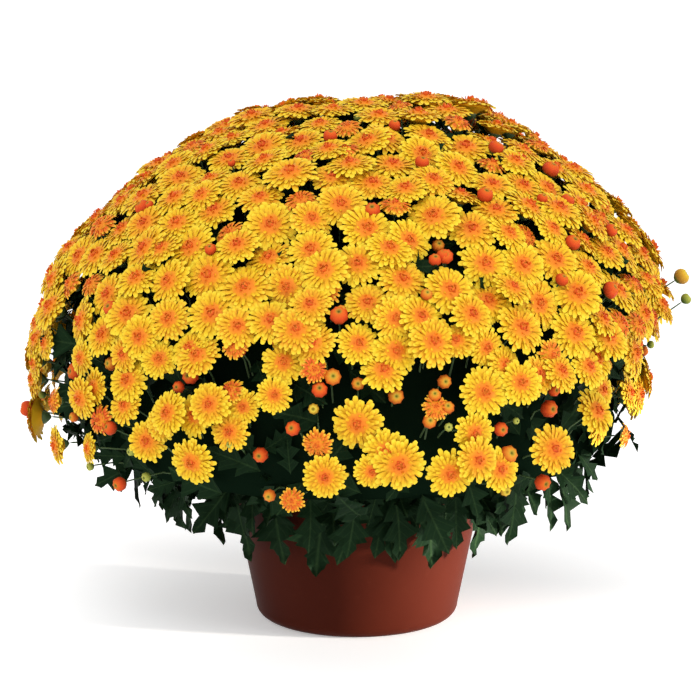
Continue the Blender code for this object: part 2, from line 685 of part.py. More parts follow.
def skirt_draw(rng, turn, distance, slope, length):
    """A way to draw one leaf that hangs from under the dome."""
    def draw():
        angle = turn + rng.uniform(-SKIRT_TURN, SKIRT_TURN)
        lean = math.radians(slope + rng.uniform(-SKIRT_LEAN, SKIRT_LEAN))
        around = np.array([math.cos(angle), math.sin(angle), 0.0])
        side = np.array([-math.sin(angle), math.cos(angle), 0.0])
        swing = side * rng.uniform(-SKIRT_SWING, SKIRT_SWING)
        out = around * math.cos(lean) - np.array([0, 0, math.sin(lean)]) + swing
        out /= np.linalg.norm(out)
        up = around * math.sin(lean) + np.array([0, 0, math.cos(lean)])
        up = up - out * (up @ out)
        fall = CORE_DOWN * (1 - (distance / CORE_SIDE) ** CORE_SQUARE) ** (1 / CORE_SQUARE)
        root = DOME_MIDDLE + around * distance - np.array([0, 0, fall])
        return root, out, up / np.linalg.norm(up), length * rng.uniform(*SKIRT_SIZES)
    return draw


def gap_draw(rng, azimuth, elevation, spin):
    """A way to draw one leaf that stands out of the leafy middle in a gap among the blooms."""
    def draw():
        way = direction(azimuth, elevation)
        first, second = side_axes(way)
        angle = spin + rng.uniform(-GAP_LEAF_TURN, GAP_LEAF_TURN)
        flat = math.cos(angle) * first + math.sin(angle) * second
        out = flat + rng.uniform(*GAP_LEAF_RISE) * way
        out /= np.linalg.norm(out)
        up = way - out * (way @ out)
        root = DOME_MIDDLE + core_reach(way[None])[0] * way - rng.uniform(*GAP_LEAF_BACK) * flat
        return root, out, up / np.linalg.norm(up), LEAF_LENGTH * rng.uniform(*GAP_LEAF_SIZES)
    return draw


def add_leaves(group, taken, core, rng):
    """The leaves under the dome, ring by ring, then up to three leaves in each gap."""
    for count, distance, slope, length in SKIRT_RINGS:
        for k in range(count):
            turn = 2 * math.pi * (k + rng.uniform(-0.2, 0.2)) / count
            add_leaf(group, taken, core, skirt_draw(rng, turn, distance, slope, length))
    for azimuth, elevation, size in DOME_GAPS:
        spin = rng.uniform(0, 2 * math.pi)
        for k in range(sum(size > step for step in GAP_STEPS)):
            add_leaf(group, taken, core, gap_draw(rng, azimuth, elevation, spin + GAP_LEAF_APART * k))


def bud_mesh(root, tip):
    """A round bud on its stalk, in rings of a few points."""
    along = (tip - root) / np.linalg.norm(tip - root)
    first, second = side_axes(along)
    rings = ((root, STALK_RADIUS), (tip - BUD_NECK * along, STALK_RADIUS),
             (tip - BUD_BELLY * along, BUD_RADIUS))
    points = [place + size * (math.cos(turn) * first + math.sin(turn) * second)
              for place, size in rings for turn in np.arange(BUD_SIDES) * 2 * math.pi / BUD_SIDES]
    points.append(tip)
    faces = [tuple(range(BUD_SIDES))]
    for k in range(BUD_SIDES):
        after = (k + 1) % BUD_SIDES
        for ring in (0, BUD_SIDES):
            faces.append((ring + k, ring + after, ring + BUD_SIDES + after, ring + BUD_SIDES + k))
        faces.append((2 * BUD_SIDES + k, 2 * BUD_SIDES + after, 3 * BUD_SIDES))
    return mesh_from("bud", points, faces)


def core_root(core, way):
    """A point a little inside the leafy middle, along a direction."""
    hit = core.ray_cast(Vector(DOME_MIDDLE), Vector(way))[0]
    return np.array(hit) - ROOT_SUNK * way


def add_stalks(group, core, plan):
    """A stalk under the head of every spray, under the lowest blooms, and under every bud."""
    ways, frames, _, parent, buds, bud_ways = plan
    places, axes, radii, _, _ = frames
    for k in range(len(ways)):
        if parent[k] >= 0 and ways[k, 2] > math.sin(math.radians(LOWEST_BLOOM + STALK_BAND)):
            continue
        foot = places[k] - BLOOM_DEPTH * radii[k] * axes[k]
        hit = core.ray_cast(Vector(foot), Vector(-axes[k]))[0]
        root = core_root(core, ways[k]) if hit is None else np.array(hit) - ROOT_SUNK * axes[k]
        along = (foot - root) / np.linalg.norm(foot - root)
        mesh = rod_mesh(root, foot - CLEARANCE * along, STALK_FOOT, STALK_TOP, STALK_SIDES)
        add_object("stalk", mesh, group)
    for tip, way in zip(buds, bud_ways):
        add_object("bud", bud_mesh(core_root(core, way), tip), group)


def build_leafy_stems(group, material, rng, plan):
    """All that is green, in one body: stems, leafy middle, leaves, stalks, and the buds on them."""
    middle = add_object("middle", core_mesh(rng), group)
    core = tree_of(middle.data)
    grown = make_collection("grown")
    add_stalks(grown, core, plan)
    taken = [tree_of(item.data) for item in list(grown.objects) + list(group.objects) if item != middle]
    add_leaves(grown, taken, core, rng)
    for foot, top in stem_lines():
        add_object("stem", rod_mesh(foot, top, STEM_RADIUS, STEM_RADIUS, STEM_SIDES), grown)
    combine(middle, grown, "UNION", "MANIFOLD")
    stems = bake(middle, group, "leafy_stems", material)
    empty_collection(grown)
    return stems


def plan_blooms(rng):
    """Settle where every bloom and bud stands before anything is built."""
    ways = scatter_blooms(rng)
    frames = bloom_frames(ways, rng)
    spray, parent = grow_sprays(frames[0], near_links(frames[0]))
    buds, bud_ways = scatter_buds(rng, ways, frames[0], parent)
    return ways, frames, spray, parent, buds, bud_ways


def main():
    clear_scene()
    group = make_collection("pot_chrysanthemum")
    cutters = make_collection("cutters")
    rng = np.random.default_rng(SEED)
    plan = plan_blooms(rng)
    build_pot(group, cutters, make_material("pot plastic", *POT_LOOK))
    build_soil(group, make_material("soil", *SOIL_LOOK))
    build_sprays(group, make_material("petal yellow", *PETAL_LOOK), plan)
    build_leafy_stems(group, make_material("leaf green", *LEAF_LOOK), rng, plan)


main()
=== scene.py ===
# %% [markdown]
# # A pot chrysanthemum, dressed
#
# The solid model of this plant is already exact: a pan, its soil, one green body and thirty-one sprays of
# plain blooms. This file gives it its looks. Each cell below makes one kind of piece: the pan, the
# soil, the petals, the leaves, the stems and the buds. The places of the blooms, buds and leaves are
# read off the solids, so that every fine piece grows where the plain one stands.

# %% Load the solid model
import math

import bpy
import numpy as np
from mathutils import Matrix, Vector


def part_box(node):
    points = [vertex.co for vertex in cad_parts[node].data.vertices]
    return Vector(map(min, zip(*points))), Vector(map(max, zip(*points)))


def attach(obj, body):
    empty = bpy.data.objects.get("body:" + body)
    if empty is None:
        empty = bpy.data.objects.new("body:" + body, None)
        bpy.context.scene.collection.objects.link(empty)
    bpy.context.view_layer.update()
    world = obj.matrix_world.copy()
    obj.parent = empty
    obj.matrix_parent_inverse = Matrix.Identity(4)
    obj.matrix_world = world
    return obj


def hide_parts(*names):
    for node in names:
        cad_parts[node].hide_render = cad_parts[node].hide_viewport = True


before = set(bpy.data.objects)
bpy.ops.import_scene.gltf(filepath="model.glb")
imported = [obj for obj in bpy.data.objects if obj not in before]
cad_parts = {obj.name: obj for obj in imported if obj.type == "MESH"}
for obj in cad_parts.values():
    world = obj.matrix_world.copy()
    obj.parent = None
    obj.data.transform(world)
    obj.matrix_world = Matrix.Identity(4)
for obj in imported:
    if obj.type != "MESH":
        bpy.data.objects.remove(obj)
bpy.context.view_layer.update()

SPRAYS = sorted(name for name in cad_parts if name.startswith("spray_"))
print("solids:", len(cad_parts), "of them sprays:", len(SPRAYS))

# %% [markdown]
# ## Camera, floor and light
#
# The picture was taken from a little above the pot, from far enough away that one pixel covers about
# one millimetre at the plant's middle. A long lens at that distance gives the same gentle perspective.
# The light is a studio's: a large soft box above and in front, a weaker one from the right, a narrow
# low beam on the right side of the pot, and a bright, even surround. The floor is a plain pale disc with
# its rim far out of view.

# %% Camera
FRAME_WIDTH = 0.700
CAMERA_DISTANCE = 2.4
CAMERA_HEIGHT_ANGLE = math.radians(10.2)
CAMERA_TARGET = Vector((-0.007, 0.0, 0.270))

lens = bpy.data.cameras.new("camera")
lens.sensor_width = 36.0
lens.lens = lens.sensor_width * CAMERA_DISTANCE / FRAME_WIDTH
camera = bpy.data.objects.new("camera", lens)
back = Vector((0.0, -math.cos(CAMERA_HEIGHT_ANGLE), math.sin(CAMERA_HEIGHT_ANGLE)))
camera.location = CAMERA_TARGET + CAMERA_DISTANCE * back
camera.rotation_euler = (-back).to_track_quat("-Z", "Y").to_euler()
bpy.context.scene.collection.objects.link(camera)
bpy.context.scene.camera = camera
print("camera at", [round(value, 3) for value in camera.location])

# %% Floor and light
FLOOR_RADIUS = 60.0
FLOOR_SIDES = 96
FLOOR_DROP = 0.0005
SOFT_BOXES = (("key", (-0.5, -1.9, 2.5), 1.4, 27), ("side", (2.3, -1.3, 0.9), 0.8, 16))
BEAM_POWER = 760
BEAM_WIDTH = math.radians(9)
BEAM_BLEND = 0.7
BEAM_SOURCE = 0.12
BEAM_COLOUR = (1.0, 0.93, 0.86)
BEAM_PLACE = (1.68, -0.40, 0.22)
BEAM_AIM = Vector((0.05, -0.05, 0.055))


def full_turn(count):
    """Angles of points evenly round a circle, the first at 0."""
    return np.linspace(0, 2 * math.pi, count, endpoint=False)


def add_light(name, kind, place, aim, **settings):
    """A light of some kind that faces a point."""
    light = bpy.data.lights.new(name, kind)
    for setting, value in settings.items():
        setattr(light, setting, value)
    lamp = bpy.data.objects.new(name, light)
    lamp.location = place
    lamp.rotation_euler = (aim - lamp.location).to_track_quat("-Z", "Y").to_euler()
    bpy.context.scene.collection.objects.link(lamp)


turns = full_turn(FLOOR_SIDES)
floor_mesh = bpy.data.meshes.new("floor")
rim = np.stack([FLOOR_RADIUS * np.cos(turns), FLOOR_RADIUS * np.sin(turns), 0 * turns - FLOOR_DROP], axis=1)
floor_mesh.from_pydata(rim.tolist(), [], [list(range(FLOOR_SIDES))])
floor = bpy.data.objects.new("floor", floor_mesh)
bpy.context.scene.collection.objects.link(floor)

for name, place, width, power in SOFT_BOXES:
    add_light(name, "AREA", place, CAMERA_TARGET, size=width, energy=power)
add_light("low", "SPOT", BEAM_PLACE, BEAM_AIM, energy=BEAM_POWER, spot_size=BEAM_WIDTH, spot_blend=BEAM_BLEND,
          shadow_soft_size=BEAM_SOURCE, color=BEAM_COLOUR)
world = bpy.data.worlds.new("surround")
world.use_nodes = True
world.node_tree.nodes["Background"].inputs["Color"].default_value = (1.0, 1.0, 1.0, 1.0)
world.node_tree.nodes["Background"].inputs["Strength"].default_value = 1.0
bpy.context.scene.world = world
bpy.context.scene.view_settings.view_transform = "Standard"
print("two soft boxes and a low beam over a pale floor")

# %% [markdown]
# ## Writing materials as sums
#
# A finish such as leaf veins is a small calculation. Blender does it with nodes, but a long chain of
# nodes is hard to read back. Here a node's output is wrapped in a class that understands plus, minus
# and times, so the material can be written as an expression, and the nodes are added behind it.

# %% The node helpers


class Value:
    """One number that varies over a surface: a node's output, with Python's operators on it."""

    def __init__(self, output):
        self.output = output

    def maths(self, operation, *terms):
        """Add a Math node that works on these terms."""
        nodes = self.output.node.id_data.nodes
        return Value(add_node(nodes, "ShaderNodeMath", {"operation": operation}, enumerate(terms)).outputs[0])

    def __add__(self, other):
        return self.maths("ADD", self, other)

    def __sub__(self, other):
        return self.maths("SUBTRACT", self, other)

    def __rsub__(self, other):
        return self.maths("SUBTRACT", other, self)

    def __mul__(self, other):
        return self.maths("MULTIPLY", self, other)

    __radd__ = __add__
    __rmul__ = __mul__

    def size(self):
        """The number without its sign."""
        return self.maths("ABSOLUTE", self)

    def part(self):
        """What is left past the last whole number."""
        return self.maths("FRACT", self)

    def above(self, limit):
        """1 where the number is above a limit, and 0 elsewhere."""
        return self.maths("GREATER_THAN", self, limit)

    def band(self, middle, width):
        """1 where the number is at the middle, falling to 0 a width away on both sides."""
        return self.maths("MAXIMUM", 1 - (self - middle).size() * (1 / width), 0.0)


def feed(socket, item):
    """Link a value or an output to a socket, or set the socket to a plain number or colour."""
    if isinstance(item, Value):
        item = item.output
    if isinstance(item, bpy.types.NodeSocket):
        socket.node.id_data.links.new(item, socket)
    elif isinstance(item, tuple) and len(item) == 3 and socket.type == "RGBA":
        socket.default_value = (*item, 1.0)
    else:
        socket.default_value = item


def add_node(nodes, kind, settings=(), sockets=()):
    """Add a node: first its settings, by name, then what its sockets hold, by name or number.

    The setting "stops" is a ramp's: places from 0 to 1, each with a colour.
    """
    node = nodes.new(kind)
    for name, value in dict(settings).items():
        if name != "stops":
            setattr(node, name, value)
            continue
        band = node.color_ramp.elements
        while len(band) < len(value):
            band.new(0.5)
        for element, (place, colour) in zip(band, value):
            element.position = place
            element.color = (*colour, 1.0)
    for key, item in dict(sockets).items():
        feed(node.inputs[key], item)
    return node


class Finish:
    """A material with one Principled shader, and the nodes that feed it."""

    def __init__(self, name, **constants):
        self.material = bpy.data.materials.new(name)
        self.material.use_nodes = True
        self.nodes = self.material.node_tree.nodes
        self.surface = self.nodes["Principled BSDF"]
        for socket, value in constants.items():
            self.set(socket.replace("_", " "), value)

    def set(self, socket, value):
        """Feed one socket of the shader, by its name in Blender."""
        feed(next(item for item in self.surface.inputs if item.name.lower() == socket.lower()), value)

    def add(self, kind, settings=(), sockets=()):
        """Add a node to this material."""
        return add_node(self.nodes, kind, settings, sockets)

    def mix(self, factor, first, second):
        """A colour between two, by a factor from 0 to 1."""
        node = self.add("ShaderNodeMix", {"data_type": "RGBA"}, {0: factor, 6: first, 7: second})
        return node.outputs[2]

    def ramp(self, factor, stops):
        """A colour that runs through stops, each a place from 0 to 1 and a colour."""
        return self.add("ShaderNodeValToRGB", {"stops": stops}, {0: factor}).outputs[0]

    def noise(self, scale, detail=2.0, rough=0.5):
        """A cloudy number from 0 to 1 that lies still on the object, features 1/scale metres wide."""
        where = self.add("ShaderNodeTexCoord").outputs["Object"]
        node = self.add("ShaderNodeTexNoise", {}, {"Vector": where, "Scale": scale, "Detail": detail,
                                                   "Roughness": rough})
        return Value(node.outputs[0])

    def map(self):
        """The two numbers of the piece's own map, along and across."""
        spot = self.add("ShaderNodeUVMap", {"uv_map": MAP_NAME})
        split = self.add("ShaderNodeSeparateXYZ", {}, {0: spot.outputs[0]})
        return Value(split.outputs[0]), Value(split.outputs[1])

    def bump(self, height, depth):
        """Raise the surface by a height from 0 to 1, depth metres at most."""
        node = self.add("ShaderNodeBump", {}, {"Height": height, "Distance": depth, "Strength": 1.0})
        self.set("Normal", node.outputs[0])


MAP_NAME = "OFBake"
print("helpers for materials ready")

# %% Floor finish
paper = Finish("pale floor", base_color=(0.95, 0.95, 0.95), roughness=0.9, specular_ior_level=0.0,
               emission_color=(1.0, 1.0, 1.0), emission_strength=0.30)
floor_mesh.materials.append(paper.material)
print("floor:", paper.material.name)

# %% [markdown]
# ## One way to make every surface
#
# Petals, leaves, stems, buds and the pan all have the same build: rings of points that follow a line
# and close at a point on both ends. So one function turns an array of rings into a mesh. It takes any
# number of copies at once, because a plant has thousands of petals, and it never loops over points.

# %% Rings of points into a mesh
SHARP_ANGLE = math.radians(70)


def ring_faces(copies, rings, around):
    """Corner numbers of copies of one closed body.

    Each body is a first pole, rings of points and a last pole. Triangles join a pole to its ring and
    four-cornered faces join one ring to the next, and every face runs the same way round.
    """
    here = np.arange(around)
    after = (here + 1) % around
    starts = 1 + around * np.arange(rings - 1)[:, None]
    corners = [starts + here, starts + after, starts + around + after, starts + around + here]
    sides = np.stack(corners, axis=2)
    first_cap = np.stack([0 * here, 1 + after, 1 + here], axis=1)
    last_ring = 1 + around * (rings - 1)
    last_cap = np.stack([0 * here + 1 + around * rings, last_ring + here, last_ring + after], axis=1)
    step = (2 + around * rings) * np.arange(copies)[:, None, None]
    caps = np.concatenate([first_cap, last_cap])
    return (caps + step).reshape(-1, 3), (sides.reshape(-1, 4) + step).reshape(-1, 4)


def join_bodies(first, rings, last):
    """Points of closed bodies in the order that ring_faces counts them: pole, rings, pole."""
    copies = len(rings)
    inner = rings.reshape(copies, -1, rings.shape[-1])
    return np.concatenate([first[:, None], inner, last[:, None]], axis=1)


def put_mesh(name, points, faces, material, spots=None):
    """Make a piece from points, faces of three and four corners, and the points' places on its map."""
    mesh = bpy.data.meshes.new(name)
    corners = np.concatenate([block.ravel() for block in faces]).astype(np.int32)
    sizes = np.concatenate([np.full(len(block), block.shape[1]) for block in faces])
    mesh.vertices.add(len(points))
    mesh.vertices.foreach_set("co", points.astype(np.float32).ravel())
    mesh.loops.add(len(corners))
    mesh.loops.foreach_set("vertex_index", corners)
    mesh.polygons.add(len(sizes))
    mesh.polygons.foreach_set("loop_start", (np.cumsum(sizes) - sizes).astype(np.int32))
    mesh.update(calc_edges=True)
    if spots is not None:
        layer = mesh.uv_layers.new(name=MAP_NAME)
        layer.uv.foreach_set("vector", spots[corners].astype(np.float32).ravel())
    mesh.shade_smooth()
    mesh.set_sharp_from_angle(angle=SHARP_ANGLE)
    mesh.materials.append(material)
    piece = bpy.data.objects.new(name, mesh)
    bpy.context.scene.collection.objects.link(piece)
    return piece


def stack_faces(parts):
    """Faces of several sets of bodies in one mesh, each set counted on from the one before it."""
    counts = np.cumsum([0] + [size for size, _ in parts])
    kinds = zip(*[[block + start for block in blocks] for start, (_, blocks) in zip(counts, parts)])
    return [np.concatenate(kind) for kind in kinds]


def dress(piece, slot, *nodes):
    """Let a piece stand for solids: hang it on the root body and hide the solids. Its slot is not used."""
    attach(piece, "root")
    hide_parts(*nodes)
    triangles = sum(len(face.vertices) - 2 for face in piece.data.polygons)
    print(f"{piece.name}: {triangles} triangles")
    return triangles


made = []
print("mesh helpers ready")

# %% [markdown]
# ## The pan
#
# A grower's pan is injection moulded in one piece: thin wall, rounded lower edge, a rolled lip and
# holes in the floor. It is turned from a profile, like clay on a wheel, with enough steps that its
# outline is round. The holes are cut afterwards.

# %% Turn the pan
POT_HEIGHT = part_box("pot")[1].z
POT_FOOT = 0.100
POT_MOUTH = 0.130
POT_WALL = 0.0025
POT_EDGE = 0.012
LIP_WIDTH = 0.0035
LIP_HEIGHT = 0.014
POT_STEPS = 112
DRAIN_COUNT = 5
DRAIN_RADIUS = 0.005
DRAIN_RING = 0.062
DRAIN_SIDES = 24
PAN_SHARP_ANGLE = math.radians(40)


def arc(middle, radius, start, end, count):
    """Points of a circle's arc in a profile, from one angle in degrees to another."""
    angles = np.radians(np.linspace(start, end, count))
    return np.stack([middle[0] + radius * np.cos(angles), middle[1] + radius * np.sin(angles)], axis=1)


def turned(profile):
    """Closed body of a profile turned about Z: its first and last points are the poles."""
    angles = full_turn(POT_STEPS)
    profile = np.array(profile)
    inner = profile[1:-1]
    ring = np.stack([inner[:, :1] * np.cos(angles), inner[:, :1] * np.sin(angles),
                     np.repeat(inner[:, 1:], POT_STEPS, axis=1)], axis=2)
    poles = np.array([[0, 0, profile[0, 1]], [0, 0, profile[-1, 1]]])
    points = join_bodies(poles[:1], ring[None], poles[1:])
    return points.reshape(-1, 3), ring_faces(1, len(inner), POT_STEPS)


def wall_at(z):
    """Outer radius of the pan's wall at a height: a straight taper from foot to mouth."""
    return POT_FOOT + (POT_MOUTH - POT_FOOT) * z / POT_HEIGHT


def pan_profile():
    """Half of the pan's section: under the floor, up the outside, over the lip, down the inside."""
    lip_r = LIP_WIDTH / 2 + POT_WALL / 2
    lip_foot = POT_HEIGHT - LIP_HEIGHT
    outer_edge = arc((wall_at(POT_EDGE) - POT_EDGE, POT_EDGE), POT_EDGE, -90, 0, 10)
    lip_line = np.array([(wall_at(lip_foot), lip_foot),
                         (wall_at(lip_foot) + LIP_WIDTH * 0.9, lip_foot + 0.001),
                         (POT_MOUTH + LIP_WIDTH, lip_foot + 0.003)])
    lip_top = arc((POT_MOUTH + LIP_WIDTH - lip_r, POT_HEIGHT - lip_r), lip_r, 0, 180, 9)
    inner_edge = arc((wall_at(POT_EDGE) - POT_EDGE, POT_EDGE), POT_EDGE - POT_WALL, 0, -90, 8)
    heights = np.linspace(POT_EDGE * 1.3, lip_foot - 0.001, 8)
    wall = np.stack([wall_at(heights), heights], axis=1)
    inner_wall = np.stack([wall_at(heights[::-1]) - POT_WALL, heights[::-1]], axis=1)
    return np.concatenate([[(0, 0)], [(POT_FOOT * 0.5, 0)], outer_edge, wall, lip_line, lip_top, inner_wall,
                           inner_edge, [(POT_FOOT * 0.5, POT_WALL)], [(0, POT_WALL)]])


pan_points, pan_faces = turned(pan_profile())
print("pan profile turned:", len(pan_points), "points")

# %% [markdown]
# The plastic is dull and reddish brown, a little lighter where it has been rubbed, with the faint
# cloudiness that recycled plastic has and a very fine grain that keeps its shine soft.

# %% Finish of the pan
plastic = Finish("pan plastic", roughness=0.5, specular_ior_level=0.03)
clouds = plastic.noise(9.0, 4.0, 0.6)
grain = plastic.noise(900.0, 2.0, 0.6)
scuffs = plastic.noise(70.0, 6.0, 0.75)
rubbed = scuffs.band(0.72, 0.12)
body = plastic.mix(clouds, (0.040, 0.0062, 0.0030), (0.058, 0.0095, 0.0042))
plastic.set("Base Color", plastic.mix(rubbed * 0.2, body, (0.10, 0.024, 0.012)))
plastic.set("Roughness", 0.40 + clouds * 0.14 + rubbed * 0.10)
plastic.bump(grain * 0.7 + scuffs * 0.3, 0.00012)
print("pan plastic:", len(plastic.nodes), "nodes")

# %% Cut the drain holes and finish the pan
pan = put_mesh("pan", pan_points, pan_faces, plastic.material)
turn = 2 * math.pi * (np.arange(DRAIN_COUNT) + 0.5) / DRAIN_COUNT
hole_turns = full_turn(DRAIN_SIDES)
hole_ring = DRAIN_RADIUS * np.stack([np.cos(hole_turns), np.sin(hole_turns), 0 * hole_turns], axis=1)
hole_middle = DRAIN_RING * np.stack([np.cos(turn), np.sin(turn), 0 * turn], axis=1)
levels = np.array([-2.0, 3.0]) * POT_WALL
steps = levels[:, None] * np.array([0, 0, 1])
hole_rings = hole_middle[:, None, None] + hole_ring + steps[:, None]
hole_points = join_bodies(hole_middle + steps[0], hole_rings, hole_middle + steps[1]).reshape(-1, 3)
hole_faces = ring_faces(DRAIN_COUNT, len(levels), DRAIN_SIDES)
cutter = put_mesh("drain_cutter", hole_points, hole_faces, plastic.material)
cut = pan.modifiers.new("Drain", "BOOLEAN")
cut.object = cutter
cut.solver = "EXACT"
bpy.context.view_layer.update()
pan.data = bpy.data.meshes.new_from_object(pan.evaluated_get(bpy.context.evaluated_depsgraph_get()))
pan.modifiers.clear()
pan.data.shade_smooth()
pan.data.set_sharp_from_angle(angle=PAN_SHARP_ANGLE)
bpy.data.objects.remove(cutter)
made.append(dress(pan, "pot_plastic", "pot"))

# %% [markdown]
# ## The soil
#
# Peat in a pot is a dark crumbly bed with pale specks of perlite. Only a ring of it can be glimpsed
# under the leaves. It is a turned body again, whose top is roughened by a sum of waves.

# %% Soil
SOIL_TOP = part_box("soil")[1].z
SOIL_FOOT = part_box("soil")[0].z
SOIL_ROUGH = 0.0022


def crumble(points):
    """Heights of crumbs at points: waves of three lengths along turned axes, multiplied in pairs."""
    total = np.zeros(len(points))
    for wave, size in ((90.0, 0.5), (210.0, 0.3), (470.0, 0.2)):
        x, y = points[:, 0] * wave, points[:, 1] * wave
        total += size * np.sin(x + 1.3 * np.sin(y * 0.7)) * np.sin(y + 1.1 * np.sin(x * 0.8))
    return total


def soil_profile():
    """Half of the soil's section, from the middle of its foot up the side and in over the top."""
    gap = POT_WALL + 0.0006
    side = np.array([(wall_at(z) - gap, z) for z in (POT_EDGE + 0.001, 0.06, SOIL_TOP - 0.002)])
    radii = np.linspace(side[-1, 0] - 0.001, 0.002, 40)
    top = np.stack([radii, 0 * radii + SOIL_TOP - SOIL_ROUGH], axis=1)
    foot = [(0, SOIL_FOOT), (POT_FOOT - POT_EDGE - 0.004, SOIL_FOOT)]
    return np.concatenate([foot, side, top, [(0, SOIL_TOP - SOIL_ROUGH)]])


soil_points, soil_faces = turned(soil_profile())
on_top = soil_points[:, 2] > SOIL_TOP - 1.5 * SOIL_ROUGH
soil_points[on_top, 2] += SOIL_ROUGH * 0.9 * crumble(soil_points[on_top])

peat = Finish("peat", roughness=0.95)
crumbs = peat.noise(260.0, 6.0, 0.7)
specks = peat.noise(420.0, 1.0, 0.4).band(0.78, 0.09)
earth = peat.mix(crumbs, (0.012, 0.007, 0.004), (0.075, 0.048, 0.030))
peat.set("Base Color", peat.mix(specks, earth, (0.62, 0.60, 0.55)))
peat.bump(crumbs, 0.0015)
soil = put_mesh("soil_bed", soil_points, soil_faces, peat.material)
made.append(dress(soil, "soil", "soil"))

# %% [markdown]
# ## Reading the blooms off the solids
#
# In the solid model each bloom is a faceted cushion: a raised middle point, joined by ten edges to a
# rim of five petal tips and five notches, over a pointed foot. After its corners are welded, the
# raised middle is the one point with exactly ten neighbours that stands further out than they do.
# Its foot, axis and radius follow from the rim.

# %% Weld a solid and list its neighbours
DOME_MIDDLE = np.array([0.0, 0.0, 0.230])
RIM_POINTS = 10
BLOOM_DEPTH = 0.55
TIP_HEIGHT = 0.47
OPEN_LIMIT = 2.2


def unit(vectors):
    """Vectors at length one."""
    return vectors / np.linalg.norm(vectors, axis=-1, keepdims=True)


def welded(name):
    """A solid's points, and for each point the numbers of its neighbours."""
    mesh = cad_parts[name].data
    points = np.empty(3 * len(mesh.vertices))
    mesh.vertices.foreach_get("co", points)
    corners = np.empty(len(mesh.loops), int)
    mesh.loops.foreach_get("vertex_index", corners)
    places, index = np.unique(np.round(points.reshape(-1, 3), 6), axis=0, return_inverse=True)
    triangles = index.reshape(-1)[corners].reshape(-1, 3)
    edges = np.concatenate([triangles[:, [0, 1]], triangles[:, [1, 2]], triangles[:, [2, 0]]])
    edges = np.unique(np.concatenate([edges, edges[:, ::-1]]), axis=0)
    return places, np.split(edges[:, 1], np.searchsorted(edges[:, 0], np.arange(1, len(places))))


def read_blooms(name):
    """Middle, axis, radius and openness of each bloom in a spray."""
    places, near = welded(name)
    rows = []
    for number in (k for k, found in enumerate(near) if len(found) == RIM_POINTS):
        rim = places[near[number]]
        if (places[number] - rim.mean(axis=0)) @ (places[number] - DOME_MIDDLE) <= 0:
            continue
        shared = np.bincount(np.concatenate([near[k] for k in near[number]]), minlength=len(places))
        shared[number] = 0
        foot = places[shared.argmax()]
        height = np.linalg.norm(places[number] - foot)
        axis = (places[number] - foot) / height
        tips = ((rim - foot) @ axis).max()
        radius = tips / TIP_HEIGHT
        half_open = height / tips > OPEN_LIMIT
        rows.append([*(foot + BLOOM_DEPTH * radius * axis), *axis, radius, half_open])
    return np.array(rows)


blooms = {name: read_blooms(name) for name in SPRAYS}
every_bloom = np.concatenate(list(blooms.values()))
print("blooms read:", len(every_bloom), "of them half open:", int(every_bloom[:, 7].sum()))
print("mean radius:", round(every_bloom[:, 6].mean() * 1000, 1), "mm")

# %% [markdown]
# The stalks of all blooms come from the leafy middle of the bush. How far that reaches along a direction
# follows the same rule as in the solid model: a flattened ball with swellings and hollows. With it, more
# blooms can be set in the narrow gaps of the solid model's dome. Those on the front stand where the photo
# shows one; on the other sides they take the widest gaps. Each leans as its neighbours do.

# %% How far the leafy middle reaches
DOME_LUMPS = np.array([
    (0, 20, 9, 0.010), (-12, 2, 16, -0.045), (14, 0, 18, -0.036), (-34, -4, 18, -0.048),
    (180, 39, 10, -0.008), (-170, -6, 14, -0.022), (172, 14, 10, -0.007), (0, 72, 20, 0.012),
    (115, 30, 18, 0.012), (60, 8, 16, -0.012), (150, 4, 14, 0.010)])
CORE_SIDE = 0.294
CORE_UP = 0.244
CORE_DOWN = 0.074
CORE_SQUARE = 3.2


def directions(azimuths, elevations):
    """Unit vectors of azimuths and elevations in radians."""
    flat = np.cos(elevations)
    return np.stack([flat * np.cos(azimuths), flat * np.sin(azimuths), np.sin(elevations)], axis=-1)


def lumps_at(ways):
    """Height of the swellings along unit vectors: each falls off as a bell with the angle from it."""
    middles = directions(*np.radians(DOME_LUMPS[:, :2]).T)
    away = np.degrees(np.arccos(np.clip(ways @ middles.T, -1, 1)))
    return (DOME_LUMPS[:, 3] * np.exp(-(away / DOME_LUMPS[:, 2]) ** 2)).sum(axis=-1)


def core_at(ways, inset):
    """Points a little inside the leafy middle of the solid model, along unit vectors."""
    flat, z = np.hypot(ways[..., 0], ways[..., 1]), ways[..., 2]
    power = np.where(z > 0, 2.0, CORE_SQUARE)
    height = np.where(z > 0, CORE_UP, CORE_DOWN)
    reach = ((flat / CORE_SIDE) ** power + (np.abs(z) / height) ** power) ** (-1 / power)
    reach = reach + lumps_at(ways) * np.clip(1 + 4 * z, 0, 1) - inset
    return DOME_MIDDLE + ways * reach[..., None]


print("the middle's top:", core_at(np.array([0, 0, 1.0]), 0).round(3).tolist())

# %% Blooms in the gaps: azimuth and elevation of those that the photo shows
SEEN_BLOOMS = np.array([
    (-98, 24), (-100, 40), (-114, 34), (-19, 3), (-58, 36), (-100, 59), (-46, 36), (-71, 22), (-128, 17),
    (-110, 20), (-84, 22), (-64, 11), (-96, 30), (-113, 8), (-116, 15), (-78, 47), (-86, 62), (-56, 12),
    (-72, 0), (-70, 49), (-139, 6), (-84, 0), (-45, 4), (-120, 6), (-49, 12), (-42, 16), (-130, 44),
    (-38, 52), (-100, 20), (-92, 54), (-31, 36), (-131, 32), (-62, 26), (-78, 18), (-84, 34), (-7, 17),
    (21, 63),
])
MORE_BLOOMS = 18
BLOOM_TRIES = 4000
BLOOM_OUTSIDE = 0.041
WIDE_GAP = 0.029
BLOOM_RADII = (0.0190, 0.0235)
BLOOM_APART = 0.12
HIGHEST_BLOOM = 0.95
AXIS_SPREAD = 0.12
LEANING = 6


